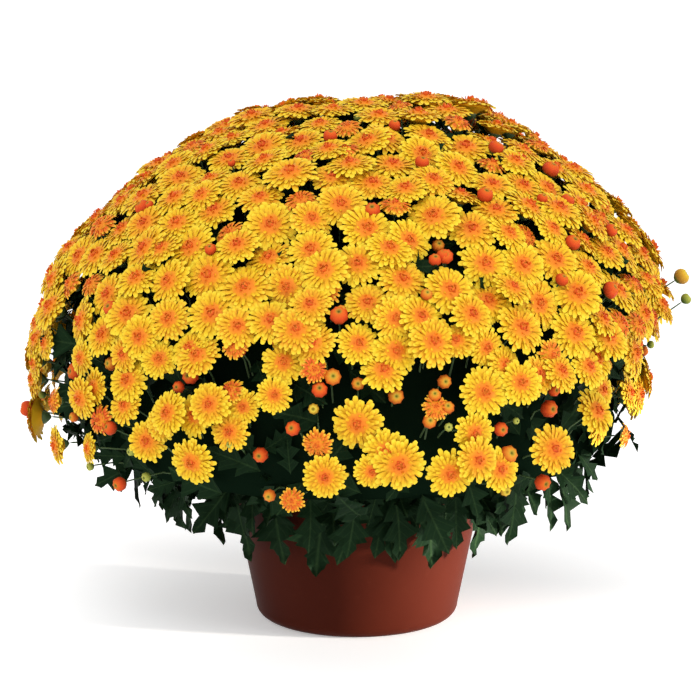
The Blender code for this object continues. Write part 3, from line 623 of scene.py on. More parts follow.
def from_blooms(spots):
    """Distance of each spot from the middle of each bloom."""
    return np.linalg.norm(spots[..., None, :] - every_bloom[:, :3], axis=-1)


def gap_blooms(rng):
    """Rows of blooms in the gaps: they lean as the mean of their neighbours, give or take a little."""
    seen = directions(*np.radians(SEEN_BLOOMS).T)
    azimuths = rng.uniform(0, math.pi, BLOOM_TRIES)
    tries = directions(azimuths, np.arcsin(rng.uniform(0, HIGHEST_BLOOM, BLOOM_TRIES)))
    tries = tries[from_blooms(core_at(tries, -BLOOM_OUTSIDE)).min(axis=1) > WIDE_GAP]
    alone = ~np.tril(tries @ tries.T > math.cos(BLOOM_APART), -1).any(axis=1)
    ways = np.concatenate([seen, tries[alone][:MORE_BLOOMS]])
    spots = core_at(ways, -BLOOM_OUTSIDE)
    beside = np.argsort(from_blooms(spots), axis=1)[:, :LEANING]
    axes = unit(every_bloom[beside, 3:6].mean(axis=1) + rng.normal(0, AXIS_SPREAD, ways.shape))
    radii = rng.uniform(*BLOOM_RADII, len(ways))
    return np.column_stack([spots, axes, radii, 0 * radii]), beside[:, 0]


added, beside = gap_blooms(np.random.default_rng(5))
spray_of = np.repeat(np.arange(len(SPRAYS)), [len(blooms[name]) for name in SPRAYS])[beside]
for number, name in enumerate(SPRAYS):
    blooms[name] = np.concatenate([blooms[name], added[spray_of == number]])
print("blooms added:", len(added))

# %% [markdown]
# Blooms turn to the light, and on the seen plant even those at the sides show much of their faces. The
# solid model's blooms look straight out of the dome. So the axes at the sides are leant to the front, and
# only there, because a lean on the crown would tip those blooms over.

# %% Turn the faces of the side blooms a little
FACE_LEAN = 0.5
FACE_MIDDLE = -0.10
FACE_REACH = 0.50
FACE_TOP = 0.45


def lean_to_front(rows):
    """Axes of blooms, leant to the front where they look sideways, as the seen plant's do.

    The lean is greatest where an axis is nearly square to the view, and none on the top of the dome.
    """
    facing = rows[:, 3:6] @ np.array(back)
    share = np.clip(1 - np.abs(facing - FACE_MIDDLE) / FACE_REACH, 0, 1)
    share = share * np.clip(2 * (FACE_TOP - unit(rows[:, :3] - DOME_MIDDLE)[:, 2]) / FACE_TOP, 0, 1)
    return unit(rows[:, 3:6] + FACE_LEAN * share[:, None] * np.array(back))


for name in SPRAYS:
    blooms[name][:, 3:6] = lean_to_front(blooms[name])
every_bloom = np.concatenate(list(blooms.values()))
print("blooms in all:", len(every_bloom))

# %% [markdown]
# ## One petal
#
# A petal is a narrow channel: it leaves the middle of the bloom, widens, and closes in a blunt tip. Its
# middle line is a curve with three handles, root, bend and tip, given as distance from the bloom's
# axis and height along it. The outer petals lie flat, and each further in is shorter and steeper, until
# the innermost bend back over the middle. So one number, the petal's rank, sets its whole shape.

# %% The line of every petal
GOLDEN_TURN = math.pi * (3 - math.sqrt(5))
TURN_SPREAD = 0.05
KNOT_START = 0.80
KNOT_LENGTH = 0.14
PETAL_REACH = 1.05
REACH_POWER = 0.37
REACH_SPREAD = 0.022
YOUNG_DOME, OPEN_DOME = 0.62, 0.36
DOME_REACH = 1.1
CURL, CURL_SPREAD = 0.07, 0.025


def list_petals(rows, counts, ranks, rng):
    """For every petal its bloom's number, its rank from 0, outermost, to 1, innermost, and its turn.

    The turns follow the golden angle, which is how a flower head packs its petals. Open and young
    blooms have a count each, and the ranks of a batch run between two limits.
    """
    counts = np.where(rows[:, 7] > 0, counts[1], counts[0])
    owner = np.repeat(np.arange(len(rows)), counts)
    place = np.arange(len(owner)) - np.repeat(np.cumsum(counts) - counts, counts)
    turn = place * GOLDEN_TURN + rng.uniform(0, 2 * math.pi, len(rows))[owner]
    rank = ranks[0] + (ranks[1] - ranks[0]) * (place + 0.5) / counts[owner]
    return owner, rank, turn + rng.normal(0, TURN_SPREAD, len(owner))


def petal_handles(rank, young, rng):
    """Root, bend and tip of each petal as (distance, height) in bloom radii.

    A tip's distance is 1 - rank to a power under a half, so that the outermost ring is the fullest. The
    petal lies along a low dome, or a high one on a young bloom: its root a little under the dome and
    its tip a little over it, as shingles lie. The last few arch over the bloom's middle.
    """
    knot = np.clip((rank - KNOT_START) / KNOT_LENGTH, 0, 1)
    reach = PETAL_REACH * (1 - rank) ** REACH_POWER * (1 + rng.normal(0, REACH_SPREAD, len(rank))) + 0.04
    tall = np.where(young, YOUNG_DOME, OPEN_DOME)

    def dome(distance):
        return tall * np.clip(1 - (distance / DOME_REACH) ** 2, 0, 1) ** 0.9 - 0.10

    root_r = 0.42 * reach * (1 - knot) + 0.05
    bend_r = 0.72 * reach * (1 - knot) + knot * 0.24
    tip_r = reach * (1 - knot) + knot * rng.uniform(0.01, 0.12, len(rank))
    curl = rng.normal(CURL, CURL_SPREAD, len(rank))
    root = np.stack([root_r, dome(root_r) - 0.13], axis=1)
    bend = np.stack([bend_r, dome(bend_r) + 0.03 + 0.06 * knot], axis=1)
    tip = np.stack([tip_r, dome(tip_r) + curl + 0.03 * knot], axis=1)
    return root, bend, tip


print("turn from one petal to the next:", round(math.degrees(GOLDEN_TURN), 1), "degrees")

# %% From lines to channels
OUTER_RINGS = np.array([(0.38, 0.84), (0.76, 1.0), (0.95, 0.72)])
INNER_RINGS = np.array([(0.45, 0.95), (0.88, 0.80)])
PETAL_WIDTH = 0.225
INNER_NARROWING = 0.12
CUPPING = 0.17
PETAL_THICKNESS = 0.0004
PETAL_ROLL = 0.12
OUTER_SHARE = 0.56
SHORT_END = 0.75


def side_axes(axes):
    """Two unit vectors square to each axis and to each other."""
    first = unit(np.cross(axes, (0.3, 0.9, 0.1)))
    return first, np.cross(axes, first)


def curve_at(handles, places):
    """Points and directions of a curve with three handles, at places from 0 to 1 along it.

    With a, b and c as handles the point is (1-t)(1-t) a + 2t(1-t) b + t t c.
    """
    a, b, c = (handle[:, None] for handle in handles)
    t = places[None, :, None]
    return (1 - t) ** 2 * a + 2 * t * (1 - t) * b + t * t * c, 2 * (1 - t) * (b - a) + 2 * t * (c - b)


def petal_bodies(rows, counts, ranks, stations, rng):
    """Points and map places of a batch of petals, as closed bodies of four-point rings.

    A ring is right edge, channel, left edge and keel. The edges rise by a share of the width, so the
    channel shows, and the keel lies one thickness below it. Stations hold each ring's place along the
    petal and its share of the width.
    """
    owner, rank, turn = list_petals(rows, counts, ranks, rng)
    young = rows[owner, 7] > 0
    radius, axis = rows[owner, 6][:, None, None], rows[owner, 3:6][:, None]
    first, second = side_axes(rows[owner, 3:6])
    out = (np.cos(turn)[:, None] * first + np.sin(turn)[:, None] * second)[:, None]
    side = (np.cos(turn)[:, None] * second - np.sin(turn)[:, None] * first)[:, None]
    handles = petal_handles(rank, young, rng)
    spots, ways = curve_at(handles, np.concatenate([[0], stations[:, 0], [1]]))
    line = rows[owner, :3][:, None] + radius * (spots[..., :1] * out + spots[..., 1:] * axis)
    up = unit(ways[..., :1] * axis - ways[..., 1:] * out)
    roll = rng.normal(0, PETAL_ROLL, len(owner))[:, None, None]
    side, up = side * np.cos(roll) + up * np.sin(roll), up * np.cos(roll) - side * np.sin(roll)
    width = (PETAL_WIDTH - INNER_NARROWING * rank)[:, None, None] * radius * stations[:, 1:] / 2
    edge, rise = side[:, 1:-1] * width, up[:, 1:-1] * width * CUPPING
    middle = line[:, 1:-1]
    keel = middle - up[:, 1:-1] * PETAL_THICKNESS
    rings = np.stack([middle + edge + rise, middle, middle - edge + rise, keel], axis=2)
    points = join_bodies(line[:, 0], rings, line[:, -1]).reshape(-1, 3)
    tone = petal_tones(rows, owner, spots[..., 0], rng)
    faces = ring_faces(len(owner), len(stations), rings.shape[2])
    return (len(points), faces), points, petal_spots(stations, tone, 1.0 if ranks[1] < 1 else SHORT_END)


print("rings on an outer and an inner petal:", len(OUTER_RINGS), len(INNER_RINGS))

# %% [markdown]
# ## The colours of a bloom
#
# The petals are golden yellow, and warmer the nearer they come to the middle of the bloom, where the
# short ones turn orange and then red. Every point of a petal is given a tone from 0, yellow, to 1, red,
# by its distance from the bloom's axis. On top of that, painted shade makes each petal warmer towards
# its root, which lies under the petals above it, and along its two edges, where it meets its neighbours.
# The piece's map holds the place along the petal and the tone, so the finish needs nothing else.

# %% Tone of every petal
# Tones added at a ring's right edge, channel, left edge and keel: the warmer edges are painted warm shade
# where a petal meets its neighbours, and the warmer keel is the underside's own orange.
EDGE_SHADE_AND_UNDERSIDE_TONES = np.array([0.07, -0.02, 0.07, 0.12])
# Painted shade: each petal is warmer towards its root, which lies under the petals above it.
ROOT_SHADE_TONE = 0.30
AGE_TONE = 0.16
DISC_EDGE, DISC_FADE, DISC_TONE = 0.35, 0.13, 0.49
YOUNG_TONE, YOUNG_AGE, YOUNG_RISE = 0.26, 1.6, 0.30
TONE_SPREAD = 0.03
REDDEST = 0.86


def petal_tones(rows, owner, distance, rng):
    """Tones of each petal's root, rings and tip: low past half the radius, rising towards the axis."""
    young = (rows[owner, 7] > 0)[:, None]
    age = AGE_TONE * rng.uniform(0, 1, len(rows))[owner][:, None] ** 1.5
    disc = np.clip((DISC_EDGE - distance) / DISC_FADE, 0, 1)
    ripe = age + DISC_TONE * disc ** 2 * (3 - 2 * disc)
    raw = YOUNG_TONE + YOUNG_AGE * age + YOUNG_RISE * np.clip(1 - distance, 0, 1)
    tone = np.where(young, raw, ripe) + rng.normal(0, TONE_SPREAD, (len(owner), 1))
    return np.clip(tone, 0, REDDEST)


def petal_spots(stations, tone, last):
    """Map places of the points of the petals: along the petal, and the tone, warmer at its edges and root as
    painted shade, and warmer on its underside in its own colour.

    The tips of short inner petals stop short of the map's end, where the outer tips turn pale.
    """
    along = np.repeat(stations[:, :1], len(EDGE_SHADE_AND_UNDERSIDE_TONES), axis=1) * last
    # Painted shade: the tone rises towards the petal's root.
    base = ROOT_SHADE_TONE * (0.75 - along)
    rings = np.stack(np.broadcast_arrays(along[None], tone[:, 1:-1, None] + EDGE_SHADE_AND_UNDERSIDE_TONES + base), axis=3)
    root = np.stack([0 * tone[:, 0], tone[:, 0]], axis=1)
    tip = np.stack([0 * tone[:, -1] + last, tone[:, -1]], axis=1)
    return np.clip(join_bodies(root, rings, tip).reshape(-1, 2), 0, 1)


print("tones across a ring:", EDGE_SHADE_AND_UNDERSIDE_TONES.tolist())

# %% [markdown]
# A real bloom is so full that nothing shows between its petals. Still more petals would be costly. A
# plain closed body in the heart of the bloom fills the depth between them, and its top is the tight knot.

# %% The cushion under the petals
CUSHION_SIDES = 8
OPEN_CUSHION = np.array([(0.0, -0.50), (0.24, -0.34), (0.46, -0.14), (0.83, -0.03), (0.58, 0.11),
                         (0.27, 0.23), (0.0, 0.28)])
YOUNG_CUSHION = np.array([(0.0, -0.50), (0.24, -0.34), (0.46, -0.14), (0.76, 0.02), (0.56, 0.24),
                          (0.27, 0.43), (0.0, 0.49)])
CUSHION_TONES = np.array([0.50, 0.30, 0.20, 0.16, 0.20, 0.50, 0.54])
CUSHION_PLACE = 0.3
CUSHION_SPREAD = 0.2


def turned_bodies(rows, profiles, sides):
    """Closed bodies turned about each row's axis: a profile of (distance, height) in the row's radii."""
    profile = profiles * rows[:, 6, None, None]
    angles = full_turn(sides)[:, None]
    first, second = side_axes(rows[:, 3:6])
    around = np.cos(angles) * first[:, None] + np.sin(angles) * second[:, None]
    middles = rows[:, None, :3] + profile[:, :, 1:] * rows[:, None, 3:6]
    rings = middles[:, 1:-1, None] + profile[:, 1:-1, None, :1] * around[:, None]
    points = join_bodies(middles[:, 0], rings, middles[:, -1]).reshape(-1, 3)
    return (len(points), ring_faces(len(rows), profile.shape[1] - 2, sides)), points


def turned_spots(across, along):
    """Places on the map of a turned body's points: one per side across, and one per profile point along."""
    middle = across.mean()
    spots = np.stack(np.broadcast_arrays(across, along[1:-1, None]), axis=2).reshape(-1, 2)
    return np.concatenate([[(middle, along[0])], spots, [(middle, along[-1])]])


def cushion_bodies(rows):
    """The closed heart of each bloom, a profile turned about its axis, and its places on the map.

    It stops the eye between the petals, and its top is the tight knot in the middle of the bloom. On the
    map it lies across the places where a petal's tip isn't yet pale.
    """
    profiles = np.where(rows[:, 7, None, None] > 0, YOUNG_CUSHION, OPEN_CUSHION)
    part, points = turned_bodies(rows, profiles, CUSHION_SIDES)
    spots = turned_spots(CUSHION_PLACE + CUSHION_SPREAD * np.cos(full_turn(CUSHION_SIDES)), CUSHION_TONES)
    return part, points, np.tile(spots, (len(rows), 1))


print("profile points on a cushion:", len(OPEN_CUSHION))

# %% Finish of the petals
TONES = ((0.00, (0.72, 0.490, 0.010)), (0.20, (0.71, 0.370, 0.009)), (0.42, (0.70, 0.21, 0.009)),
         (0.70, (0.66, 0.10, 0.010)), (1.00, (0.52, 0.040, 0.009)))
PALE_TIP = (0.80, 0.63, 0.045)

golden = Finish("golden petals", roughness=0.6, specular_ior_level=0.2)
along, tone = golden.map()
petal_colour = golden.ramp(tone, TONES)
golden.set("Base Color", golden.mix(along.band(1.0, 0.34) * 0.6, petal_colour, PALE_TIP))
print("petal tones:", len(TONES))

# %% [markdown]
# Now each spray becomes one piece. A bloom has two batches of petals: the outer ones have three rings, and
# the short inner ones, which show less of their form, have two. With its cushion that makes 1,784
# triangles for an open bloom, so that a spray stays light enough.

# %% Build the sprays
OUTER_PETALS = (43, 28)
INNER_PETALS = (42, 24)

rng = np.random.default_rng(7)
for number, name in enumerate(SPRAYS):
    rows = blooms[name]
    batches = [petal_bodies(rows, OUTER_PETALS, (0.0, OUTER_SHARE), OUTER_RINGS, rng),
               petal_bodies(rows, INNER_PETALS, (OUTER_SHARE, 1.0), INNER_RINGS, rng), cushion_bodies(rows)]
    parts, points, spots = zip(*batches)
    piece = put_mesh(f"blooms_{number + 1:02d}", np.concatenate(points), stack_faces(parts),
                     golden.material, np.concatenate(spots))
    made.append(dress(piece, "petal", name))
print("triangles so far:", sum(made))

# %% [markdown]
# ## The dark middle of the bush
#
# Between the blooms one looks into shade. The solid model has a rough mass there. Here it becomes a
# ball whose nearly black green is painted deep shade, a little smaller below and a little larger on the
# crown, and everything leafy grows out of it.

# %% The dark ball
BALL_AROUND, BALL_RINGS = 96, 46
BALL_INSET = 0.006
BALL_CRUMBS = 0.005
CRUMB_STRETCH = 0.4
CROWN_RISE = 0.010


def crown_rise(ways):
    """How much further the bush's middle reaches on the crown than lower down, along unit vectors."""
    return CROWN_RISE * np.clip(2 * ways[..., 2], 0, 1)


# Painted shade: the ball is nearly black, the deep shade between the blooms.
shade = Finish("deep shade", base_color=(0.003, 0.008, 0.004), roughness=0.9, specular_ior_level=0.0)
around, up = np.meshgrid(full_turn(BALL_AROUND), np.linspace(-math.pi / 2, math.pi / 2, BALL_RINGS + 2)[1:-1])
ball_ways = directions(around, up)
poles = np.array([[0, 0, -1.0], [0, 0, 1.0]])
ends, ring = (core_at(ways, BALL_INSET - crown_rise(ways)) for ways in (poles, ball_ways))
ball_points = join_bodies(ends[:1], ring[None], ends[1:]).reshape(-1, 3)
ball_points += BALL_CRUMBS * crumble(ball_points * CRUMB_STRETCH)[:, None] * unit(ball_points - DOME_MIDDLE)
ball = put_mesh("dark_middle", ball_points, ring_faces(1, BALL_RINGS, BALL_AROUND), shade.material)
made.append(dress(ball, "leaf", "leafy_stems"))

# %% [markdown]
# ## Leaves
#
# A chrysanthemum leaf is lobed, and its lobes are toothed and lean towards the tip. The blade is a strip
# that is bent into that shape: along the rib its half width follows the leaf's edge, and each point is
# pushed towards the tip by a share of its distance from the rib, so that lobes and notches lean. Places
# along the rib and half widths, both as shares of the leaf's length, are the table below.

# %% The shape of a leaf
LEAF_EDGE = np.array([
    (0.02, 0.012), (0.08, 0.018), (0.13, 0.10), (0.19, 0.21), (0.215, 0.165), (0.25, 0.27), (0.285, 0.185),
    (0.31, 0.205), (0.365, 0.07), (0.43, 0.17), (0.48, 0.275), (0.505, 0.225), (0.555, 0.325), (0.60, 0.205),
    (0.63, 0.23), (0.70, 0.08), (0.76, 0.145), (0.785, 0.11), (0.85, 0.095), (0.875, 0.07), (0.95, 0.03)])
LEAF_LEAN = 0.35
LEAF_FOLD = 0.25
LEAF_DROOP = 0.10
LEAF_THICKNESS = 0.0007
LEAF_SWING = 0.07
RIPPLE, RIPPLE_WAVE = 0.05, 17
SPOT_WIDTH = 1.4
TOP_SHARES = np.array([-1.0, -0.5, 0.0, 0.5, 1.0])
UNDER_SHARES = np.array([0.5, 0.0, -0.5])


def leaf_bodies(frames, edge, top, under, rng):
    """Points and map places of leaves as closed bodies, one ring of points per place along the rib.

    Each leaf has a root, a direction, an up direction and a length. With u along the rib and v across,
    both in leaf lengths, the point is the root plus length times (u + lean |v|) along, v aside, and up
    by fold |v| less droop u squared, and a ripple that grows towards the edge.
    """
    root, out, up, length = np.split(frames[:, None, None], (3, 6, 9), axis=3)
    shares = np.concatenate([top, under])[None, :]
    u, v = edge[:, :1] + 0 * shares, edge[:, 1:] * shares
    wave = rng.uniform(0, 2 * math.pi, (len(frames), 1, 1))
    droop = LEAF_DROOP * rng.uniform(0.6, 2.2, (len(frames), 1, 1))
    swing = rng.normal(0, LEAF_SWING, (len(frames), 1, 1))
    ripple = RIPPLE * np.abs(shares) * np.sin(RIPPLE_WAVE * u + 3 * shares + wave)
    height = LEAF_FOLD * np.abs(v) - droop * u ** 2 + ripple
    thin = np.where(np.arange(shares.shape[1]) < len(top), 0.0, LEAF_THICKNESS)
    along = (u + LEAF_LEAN * np.abs(v))[None, ..., None]
    aside = (v[None] + swing * u ** 2)[..., None]
    side = np.cross(up, out)
    rings = root + length * (along * out + aside * side + height[..., None] * up) - thin[:, None] * up
    first = root[:, 0, 0]
    last = first + (length * (out + swing[..., None] * side - droop[..., None] * up))[:, 0, 0]
    tile = rng.integers(0, 4, len(frames))[:, None, None]
    spot_u = (tile + np.clip(u, 0.02, 0.98)[None]) / 4 + 0 * v
    spots = np.stack([spot_u, 0.5 + SPOT_WIDTH * v + 0 * spot_u], axis=3)
    ends = [np.stack([(tile[:, 0, 0] + end) / 4, 0 * first[:, 0] + 0.5], axis=1) for end in (0.01, 0.99)]
    points = join_bodies(first, rings, last).reshape(-1, 3)
    faces = ring_faces(len(frames), len(edge), shares.shape[1])
    return (len(points), faces), points, join_bodies(ends[0], spots, ends[1]).reshape(-1, 2)


print("widest half of a leaf:", LEAF_EDGE[:, 1].max(), "of its length")

# %% [markdown]
# The leaf's face is dark green and cloudy, with a paler midrib and side veins that slant to the tip and
# lie deeper than the blade. The map says how far along and how far across each point lies, so the veins
# are bands in two numbers and follow every bend. Each leaf lies on one of four strips of the map.

# %% Finish of the leaves
foliage = Finish("leaves", roughness=0.5, specular_ior_level=0.03)
along, across = foliage.map()
tone = foliage.noise(38.0, 3.0, 0.6)
place = (along * 4).part()
rib = (across - 0.5).size()
midrib = rib.band(0.0, 0.035)
slant = place - rib * 0.55
side_veins = (slant * 6.5).part().band(0.5, 0.12) * 0.6
blade = foliage.mix(tone, (0.003, 0.010, 0.004), (0.009, 0.026, 0.009))
foliage.set("Base Color", foliage.mix(midrib * 0.7 + side_veins * 0.4, blade, (0.024, 0.050, 0.018)))
foliage.set("Roughness", 0.46 + tone * 0.20)
foliage.bump(1 - midrib * 0.8 - side_veins * 0.5, 0.0006)
print("leaf finish:", len(foliage.nodes), "nodes")

# %% [markdown]
# The solid model's leaves are plain blades with five lobes. A leaf's middle point can be told by its
# many neighbours: the tip lies at one distance, two lobe tips at another and two notches at a third,
# all in one proportion. From them come the leaf's root, direction and length.

# %% Read the leaves
TIP_SHARE, LOBE_SHARE, NOTCH_SHARE = 0.5056, 0.398, 0.28
LOBE_ALONG = 0.4
LEAF_NEIGHBOURS = 8
LEAF_LENGTHS = (0.045, 0.110)
LEAF_MATCH = 0.004
TWIN_APART = 0.004


def read_leaves(places, near):
    """Root, direction, up direction and length of every leaf that stands free in the solid.

    A leaf shows on both of its faces, so of two that share a place the lower one is left out.
    """
    rows = []
    for number in (k for k, found in enumerate(near) if len(found) >= LEAF_NEIGHBOURS):
        others = places[near[number]]
        far = np.linalg.norm(others - places[number], axis=1)
        for tip, reach in zip(others, far):
            length = reach / TIP_SHARE
            lobes = others[np.abs(far - LOBE_SHARE * length) < LEAF_MATCH * length]
            notches = np.abs(far - NOTCH_SHARE * length) < LEAF_MATCH * length
            if LEAF_LENGTHS[0] < length < LEAF_LENGTHS[1] and len(lobes) >= 2 and notches.sum() >= 2:
                out = (tip - places[number]) / reach
                up = lobes[:2].mean(axis=0) - places[number] - LOBE_ALONG * (tip - places[number])
                up = unit(up - out * (up @ out))
                rows.append([*(places[number] - 0.5 * length * out), *out, *up, length])
                break
    rows = np.array(rows)
    twin = np.linalg.norm(rows[:, None, :3] - rows[None, :, :3], axis=2) < TWIN_APART
    lower = ((rows[None, :, :3] - rows[:, None, :3]) * rows[:, None, 6:9]).sum(axis=2) > 0.0002
    return rows[~(twin & lower).any(axis=1)]


green_places, green_near = welded("leafy_stems")
leaf_rows = read_leaves(green_places, green_near)
print("leaves read:", len(leaf_rows))

# %% [markdown]
# Behind its large leaves the bush is full of smaller ones. No view shows them one by one, so they are
# drawn by rule, with a plainer edge: most lie on the leafy middle, a few stand up between the blooms, and
# others hang round the lower rim, over the pot.

# %% Leaves that the solid model shows, small ones deeper in, and some that hang round the lower rim
INNER_LEAVES = 570
STANDING_LEAVES = 60
HANGING_LEAVES = 90
LEAF_INSET = 0.004
HANGING_INSET = 0.012
HANGING_BAND = (-24, -10)
HANGING_LENGTHS = (0.040, 0.066)
BARE_RIM = np.radians((232, 256))
PLAIN_EDGE = np.array([(0.03, 0.015), (0.16, 0.16), (0.26, 0.25), (0.36, 0.08), (0.52, 0.29), (0.66, 0.09),
                       (0.80, 0.12), (0.93, 0.04)])
PLAIN_TOP = np.array([-1.0, 0.0, 1.0])
PLAIN_UNDER = np.array([0.0])


def leaves_on_middle(count, heights, steepness, lengths, rng):
    """Rows of small leaves that grow out of the leafy middle, between lying on it and standing up.

    Heights are limits for the sine of the elevation. A leaf's direction is one along the surface plus
    a share of the outward one, and steepness holds the limits of that share.
    """
    ways = directions(rng.uniform(0, 2 * math.pi, count), np.arcsin(rng.uniform(*heights, count)))
    first, second = side_axes(ways)
    turn = rng.uniform(0, 2 * math.pi, (count, 1))
    flat = np.cos(turn) * first + np.sin(turn) * second
    out = unit(flat + rng.uniform(*steepness, (count, 1)) * ways)
    up = unit(ways - out * (ways * out).sum(axis=1, keepdims=True))
    length = rng.uniform(*lengths, (count, 1))
    root = core_at(ways, LEAF_INSET - crown_rise(ways)) - 0.35 * length * flat
    return np.hstack([root, out, up, length])


def hanging_leaves(rng):
    """Rows of leaves that hang round the lower rim of the bush, but for the stretch that is bare.

    A leaf's direction is down, plus a share outwards and one sideways.
    """
    azimuth = rng.uniform(0, 2 * math.pi, HANGING_LEAVES)
    ways = directions(azimuth, np.radians(rng.uniform(*HANGING_BAND, HANGING_LEAVES)))
    flat = directions(azimuth, 0 * azimuth)
    aside = rng.normal(0, 0.35, (HANGING_LEAVES, 1)) * np.cross(flat, (0, 0, 1.0))
    out = unit(rng.uniform(0.1, 0.7, (HANGING_LEAVES, 1)) * flat + aside - np.array([0, 0, 1.0]))
    up = unit(flat - out * (flat * out).sum(axis=1, keepdims=True))
    length = rng.uniform(*HANGING_LENGTHS, (HANGING_LEAVES, 1))
    rows = np.hstack([core_at(ways, HANGING_INSET), out, up, length])
    return rows[(azimuth < BARE_RIM[0]) | (azimuth > BARE_RIM[1])]


rng = np.random.default_rng(11)
outer = leaf_bodies(leaf_rows, LEAF_EDGE, TOP_SHARES, UNDER_SHARES, rng)
small = [leaves_on_middle(INNER_LEAVES, (-0.45, 1), (0.0, 1.2), (0.034, 0.062), rng), hanging_leaves(rng),
         leaves_on_middle(STANDING_LEAVES, (0.3, 0.98), (1.0, 2.0), (0.030, 0.040), rng)]
inner = leaf_bodies(np.concatenate(small), PLAIN_EDGE, PLAIN_TOP, PLAIN_UNDER, rng)
for name, (part, points, spots) in (("leaves", outer), ("inner_leaves", inner)):
    made.append(dress(put_mesh(name, points, part[1], foliage.material, spots), "leaf", "leafy_stems"))

# %% [markdown]
# ## Stems, stalks and buds
#
# Five stems rise from the soil. Under every bloom and bud is a stalk that leaves the leafy middle a
# little lower down and bends outwards, and a green cup that holds the petals. All are round bodies
# along a curve, so they share one function.

# %% Round bodies along a curve
STALK_SIDES = 5
STALK_PLACES = np.array([0.04, 0.35, 0.68, 0.97])
STALK_INSET = 0.016
STALK_PULL = 0.45


def stalk_bodies(handles, thick, thin, sides, places):
    """Closed round bodies along curves with three handles, tapering from one radius to another."""
    middles, ways = curve_at(handles, np.concatenate([[0], places, [1]]))
    first, second = side_axes(unit(ways[:, 1:-1]))
    angles = full_turn(sides)[:, None]
    around = np.cos(angles) * first[:, :, None] + np.sin(angles) * second[:, :, None]
    rings = middles[:, 1:-1, None] + (thick + (thin - thick) * places)[:, None, None] * around
    points = join_bodies(middles[:, 0], rings, middles[:, -1]).reshape(-1, 3)
    return (len(points), ring_faces(len(middles), len(places), sides)), points


def stalk_handles(tops, axes, drop, rng):
    """Root, bend and top of stalks: the root lies in the leafy middle, lower down than the top.

    The bend lies under the top along its axis, so that a stalk meets its bloom or bud square on.
    """
    ways = unit(tops - DOME_MIDDLE)
    low = unit(ways - np.array([0, 0, 1.0]) * drop * rng.uniform(0.5, 1.3, (len(tops), 1)))
    root = core_at(low, STALK_INSET)
    return root, tops - STALK_PULL * np.linalg.norm(tops - root, axis=1, keepdims=True) * axes, tops


print("points on a stalk:", 2 + STALK_SIDES * len(STALK_PLACES))

# %% Cups under the blooms
CUP_SIDES = 8
CUP = np.array([(0.0, -0.60), (0.07, -0.58), (0.19, -0.46), (0.31, -0.30), (0.26, -0.23), (0.0, -0.24)])

cups = turned_bodies(every_bloom, CUP[None], CUP_SIDES)
print("cups:", len(every_bloom))

# %% Read the buds
BUD_RADIUS = 0.0062
BUD_EDGE = 1.25 * BUD_RADIUS
BUD_MATCH = 0.0002


def read_buds(places, near):
    """Middle, axis and radius of every bud: its tip has four neighbours, all equally far."""
    rows = []
    for number in (k for k, found in enumerate(near) if len(found) == 4):
        others = places[near[number]]
        far = np.linalg.norm(others - places[number], axis=1)
        if np.all(np.abs(far - BUD_EDGE) < BUD_MATCH):
            axis = unit(places[number] - others.mean(axis=0))
            rows.append([*(places[number] - 0.75 * BUD_RADIUS * axis), *axis, BUD_RADIUS, 0.0])
    return np.array(rows)


bud_rows = read_buds(green_places, green_near)
print("buds read:", len(bud_rows))

# %% [markdown]
# The photo shows the buds on the front one by one. The table below holds the direction of each from the
# dome's middle, its kind (red, orange, yellow or green), its radius and how far it stands out. High on
# the dome, where the blooms' own places follow a rule, a bud moves into the widest gap beside it. A bud
# of the solid model takes the kind and size of the seen bud that it stands for. The rest of the table,
# and small buds strewn between the blooms on the back, are added on stalks of their own.

